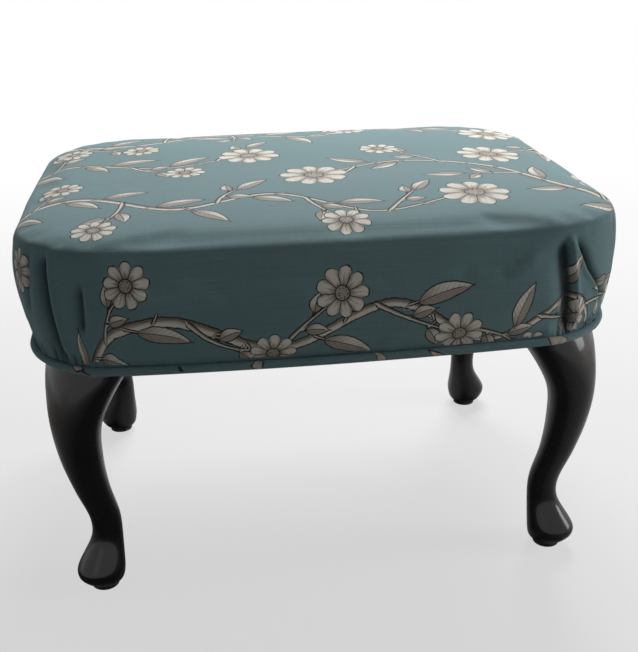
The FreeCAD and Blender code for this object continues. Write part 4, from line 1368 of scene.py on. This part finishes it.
def weave_material(name, dark, light, pitch, slub, distance):
    finish = Finish(name, Roughness=0.92, Specular_IOR_Level=0.2, Sheen_Weight=0.15)
    place = object_place(finish.tree)
    colour = mix(finish.tree, place.handled(0.03), light, dark)
    return finish.put(Base_Color=finish.weave(place, colour, pitch, slub, distance, 0.7))


def cell_material(name, dark, light, cells):
    finish = Finish(name, Roughness=0.95, Specular_IOR_Level=0.15)
    place = object_place(finish.tree)
    pores = place.cells(cells)
    colour = mix(finish.tree, pores.step(0.1, 0.6), dark, light)
    finish.bump(pores, 0.0008, 0.6)
    return finish.put(Base_Color=mix(finish.tree, place.handled(0.04) * 0.25, colour, dark))


class FOOTSTOOL_OT_finishes(bpy.types.Operator):
    """Wood, steel, nylon, webbing and stuffing of the pieces that keep their own shape"""
    bl_idname = "footstool.finishes"
    bl_label = "Inner pieces"

    def execute(self, context):
        finishes = {
            "beech": beech_material(),
            "steel": steel_material(),
            "nylon": nylon_material(),
            "jute": weave_material("Jute webbing", (0.20, 0.13, 0.07), (0.42, 0.30, 0.17), 0.0022,
                                   0.5, 0.0005),
            "hessian": weave_material("Hessian", (0.22, 0.15, 0.08), (0.46, 0.34, 0.20), 0.0016,
                                      0.5, 0.0004),
            "foam": cell_material("Foam", (0.60, 0.50, 0.30), (0.80, 0.72, 0.48), 900),
            "wadding": cell_material("Wadding", (0.70, 0.70, 0.68), (0.86, 0.86, 0.84), 420),
            "cotton_cord": weave_material("Cotton cord", (0.48, 0.43, 0.34), (0.72, 0.67, 0.57), 0.0012,
                                          0.4, 0.0004),
        }
        slots = {entry["node"]: entry["material_slot"] for entry in frame["record"]["subparts"]}
        for node, obj in frame["nodes"].items():
            finish = finishes.get(slots[node])
            if finish:
                for slot in obj.material_slots:
                    slot.material = finish
        return {"FINISHED"}


# Studio


def area_lamp(name, place, target, size_x, size_y, power):
    data = bpy.data.lights.new(name, "AREA")
    data.shape = "RECTANGLE"
    data.size = size_x
    data.size_y = size_y
    data.energy = power
    lamp = bpy.data.objects.new(name, data)
    bpy.context.collection.objects.link(lamp)
    lamp.location = place
    lamp.rotation_euler = (Vector(target) - Vector(place)).to_track_quat("-Z", "Y").to_euler()
    return lamp


def background_share(tree):
    """1 for rays of the camera, of gloss and through glass, and 0 for the rest."""
    seen = tree.nodes.new("ShaderNodeLightPath").outputs
    kinds = ("Camera", "Glossy", "Transmission")
    camera, gloss, glass = (Wire(tree, seen[f"Is {kind} Ray"]) for kind in kinds)
    return camera.most(gloss.most(glass))


def floor_material():
    finish = Finish("Studio floor", Roughness=0.7, Specular_IOR_Level=0.1)
    tree = finish.tree
    place = object_place(tree)
    x, y, _ = place.split()
    reach = (x * x + y * y).calc("SQRT")
    finish.put(Base_Color=mix(tree, place.speckle(3.0, 2), (0.50, 0.50, 0.50), (0.54, 0.54, 0.535)))
    glow = tree.nodes.new("ShaderNodeEmission")
    glow.inputs["Strength"].default_value = 1.0
    seen = Wire(tree, tree.nodes.new("ShaderNodeLightPath").outputs["Is Camera Ray"])
    near = reach.step(0.25, 1.4, 0.62, 1.0) * seen
    far = reach.step(0.6, 1.6) * background_share(tree)
    blend_shaders(tree, near.most(far), tree.nodes["Principled BSDF"].outputs[0], glow.outputs[0],
                  tree.nodes["Material Output"].inputs[0])
    return finish.material


class FOOTSTOOL_OT_studio(bpy.types.Operator):
    """Pale floor, soft light and the camera"""
    bl_idname = "footstool.studio"
    bl_label = "Studio"

    def execute(self, context):
        studio = context.scene.footstool_studio
        scene = context.scene
        deselect()
        bpy.ops.mesh.primitive_plane_add(size=30, location=(0, 0, 0))
        floor = name_piece("studio_floor")
        apply_place(floor)
        wear(floor, floor_material())
        world = bpy.data.worlds.new("Studio sky")
        scene.world = world
        world.use_nodes = True
        tree = world.node_tree
        sky = tree.nodes["Background"]
        sky.inputs["Color"].default_value = (1, 1, 1, 1)
        sky.inputs["Strength"].default_value = studio.sky
        white = tree.nodes.new("ShaderNodeBackground")
        white.inputs["Color"].default_value = (1, 1, 1, 1)
        white.inputs["Strength"].default_value = 1.0
        blend_shaders(tree, background_share(tree), sky.outputs[0], white.outputs[0],
                      tree.nodes["World Output"].inputs[0])
        area_lamp("Top light", (0.30, 1.0, 1.15), (0.02, 0.0, 0.3), 0.9, 0.6, studio.top_light)
        area_lamp("Front light", (-0.9, -1.6, 0.9), (0, 0, 0.2), 0.8, 0.8, studio.front_light)
        area_lamp("Right light", (1.6, -0.30, 0.62), (0.2, 0, 0.25), 0.5, 0.9, studio.right_light)
        self.add_camera(scene, studio)
        scene.view_settings.view_transform = "Standard"
        return {"FINISHED"}

    def add_camera(self, scene, studio):
        target = Vector((0.0087, -0.0064, 0.162))
        back = Vector((math.sin(studio.azimuth) * math.cos(studio.elevation),
                       -math.cos(studio.azimuth) * math.cos(studio.elevation), math.sin(studio.elevation)))
        right = (-back).cross(Vector((0, 0, 1))).normalized()
        up = right.cross(-back)
        cosine, sine = math.cos(studio.roll), math.sin(studio.roll)
        turned_right = right * cosine + up * sine
        turned_up = up * cosine - right * sine
        data = bpy.data.cameras.new("Camera")
        data.sensor_fit = "VERTICAL"
        data.sensor_height = 36
        data.lens = studio.lens
        camera = bpy.data.objects.new("Camera", data)
        bpy.context.scene.collection.objects.link(camera)
        axes = Matrix((turned_right, turned_up, back)).transposed().to_4x4()
        camera.matrix_world = Matrix.Translation(target + back * studio.distance) @ axes
        scene.camera = camera


# Panel and registration


class FOOTSTOOL_PT_panel(bpy.types.Panel):
    bl_label = "Footstool"
    bl_idname = "FOOTSTOOL_PT_panel"
    bl_space_type = "VIEW_3D"
    bl_region_type = "UI"
    bl_category = "Footstool"

    def draw(self, context):
        scene = context.scene
        for group in SETTINGS:
            box = self.layout.box()
            for name in SETTINGS[group].__annotations__:
                box.prop(getattr(scene, group), name)
        for operator in OPERATORS:
            self.layout.operator(operator.bl_idname)


SETTINGS = {"footstool_seat": FootstoolSeat, "footstool_print": FootstoolPrint,
            "footstool_legs": FootstoolLegs, "footstool_studio": FootstoolStudio}
OPERATORS = (FOOTSTOOL_OT_seat, FOOTSTOOL_OT_piping, FOOTSTOOL_OT_legs, FOOTSTOOL_OT_dust_cover,
             FOOTSTOOL_OT_finishes, FOOTSTOOL_OT_studio)
CLASSES = (*SETTINGS.values(), *OPERATORS, FOOTSTOOL_PT_panel)


def register():
    for each in CLASSES:
        bpy.utils.register_class(each)
    for name, kind in SETTINGS.items():
        setattr(bpy.types.Scene, name, PointerProperty(type=kind))


def unregister():
    for name in SETTINGS:
        delattr(bpy.types.Scene, name)
    for each in reversed(CLASSES):
        bpy.utils.unregister_class(each)


def main():
    register()
    bpy.ops.footstool.seat()
    bpy.ops.footstool.piping()
    bpy.ops.footstool.legs()
    bpy.ops.footstool.dust_cover()
    bpy.ops.footstool.finishes()
    bpy.ops.footstool.studio()


if __name__ == "__main__":
    main()
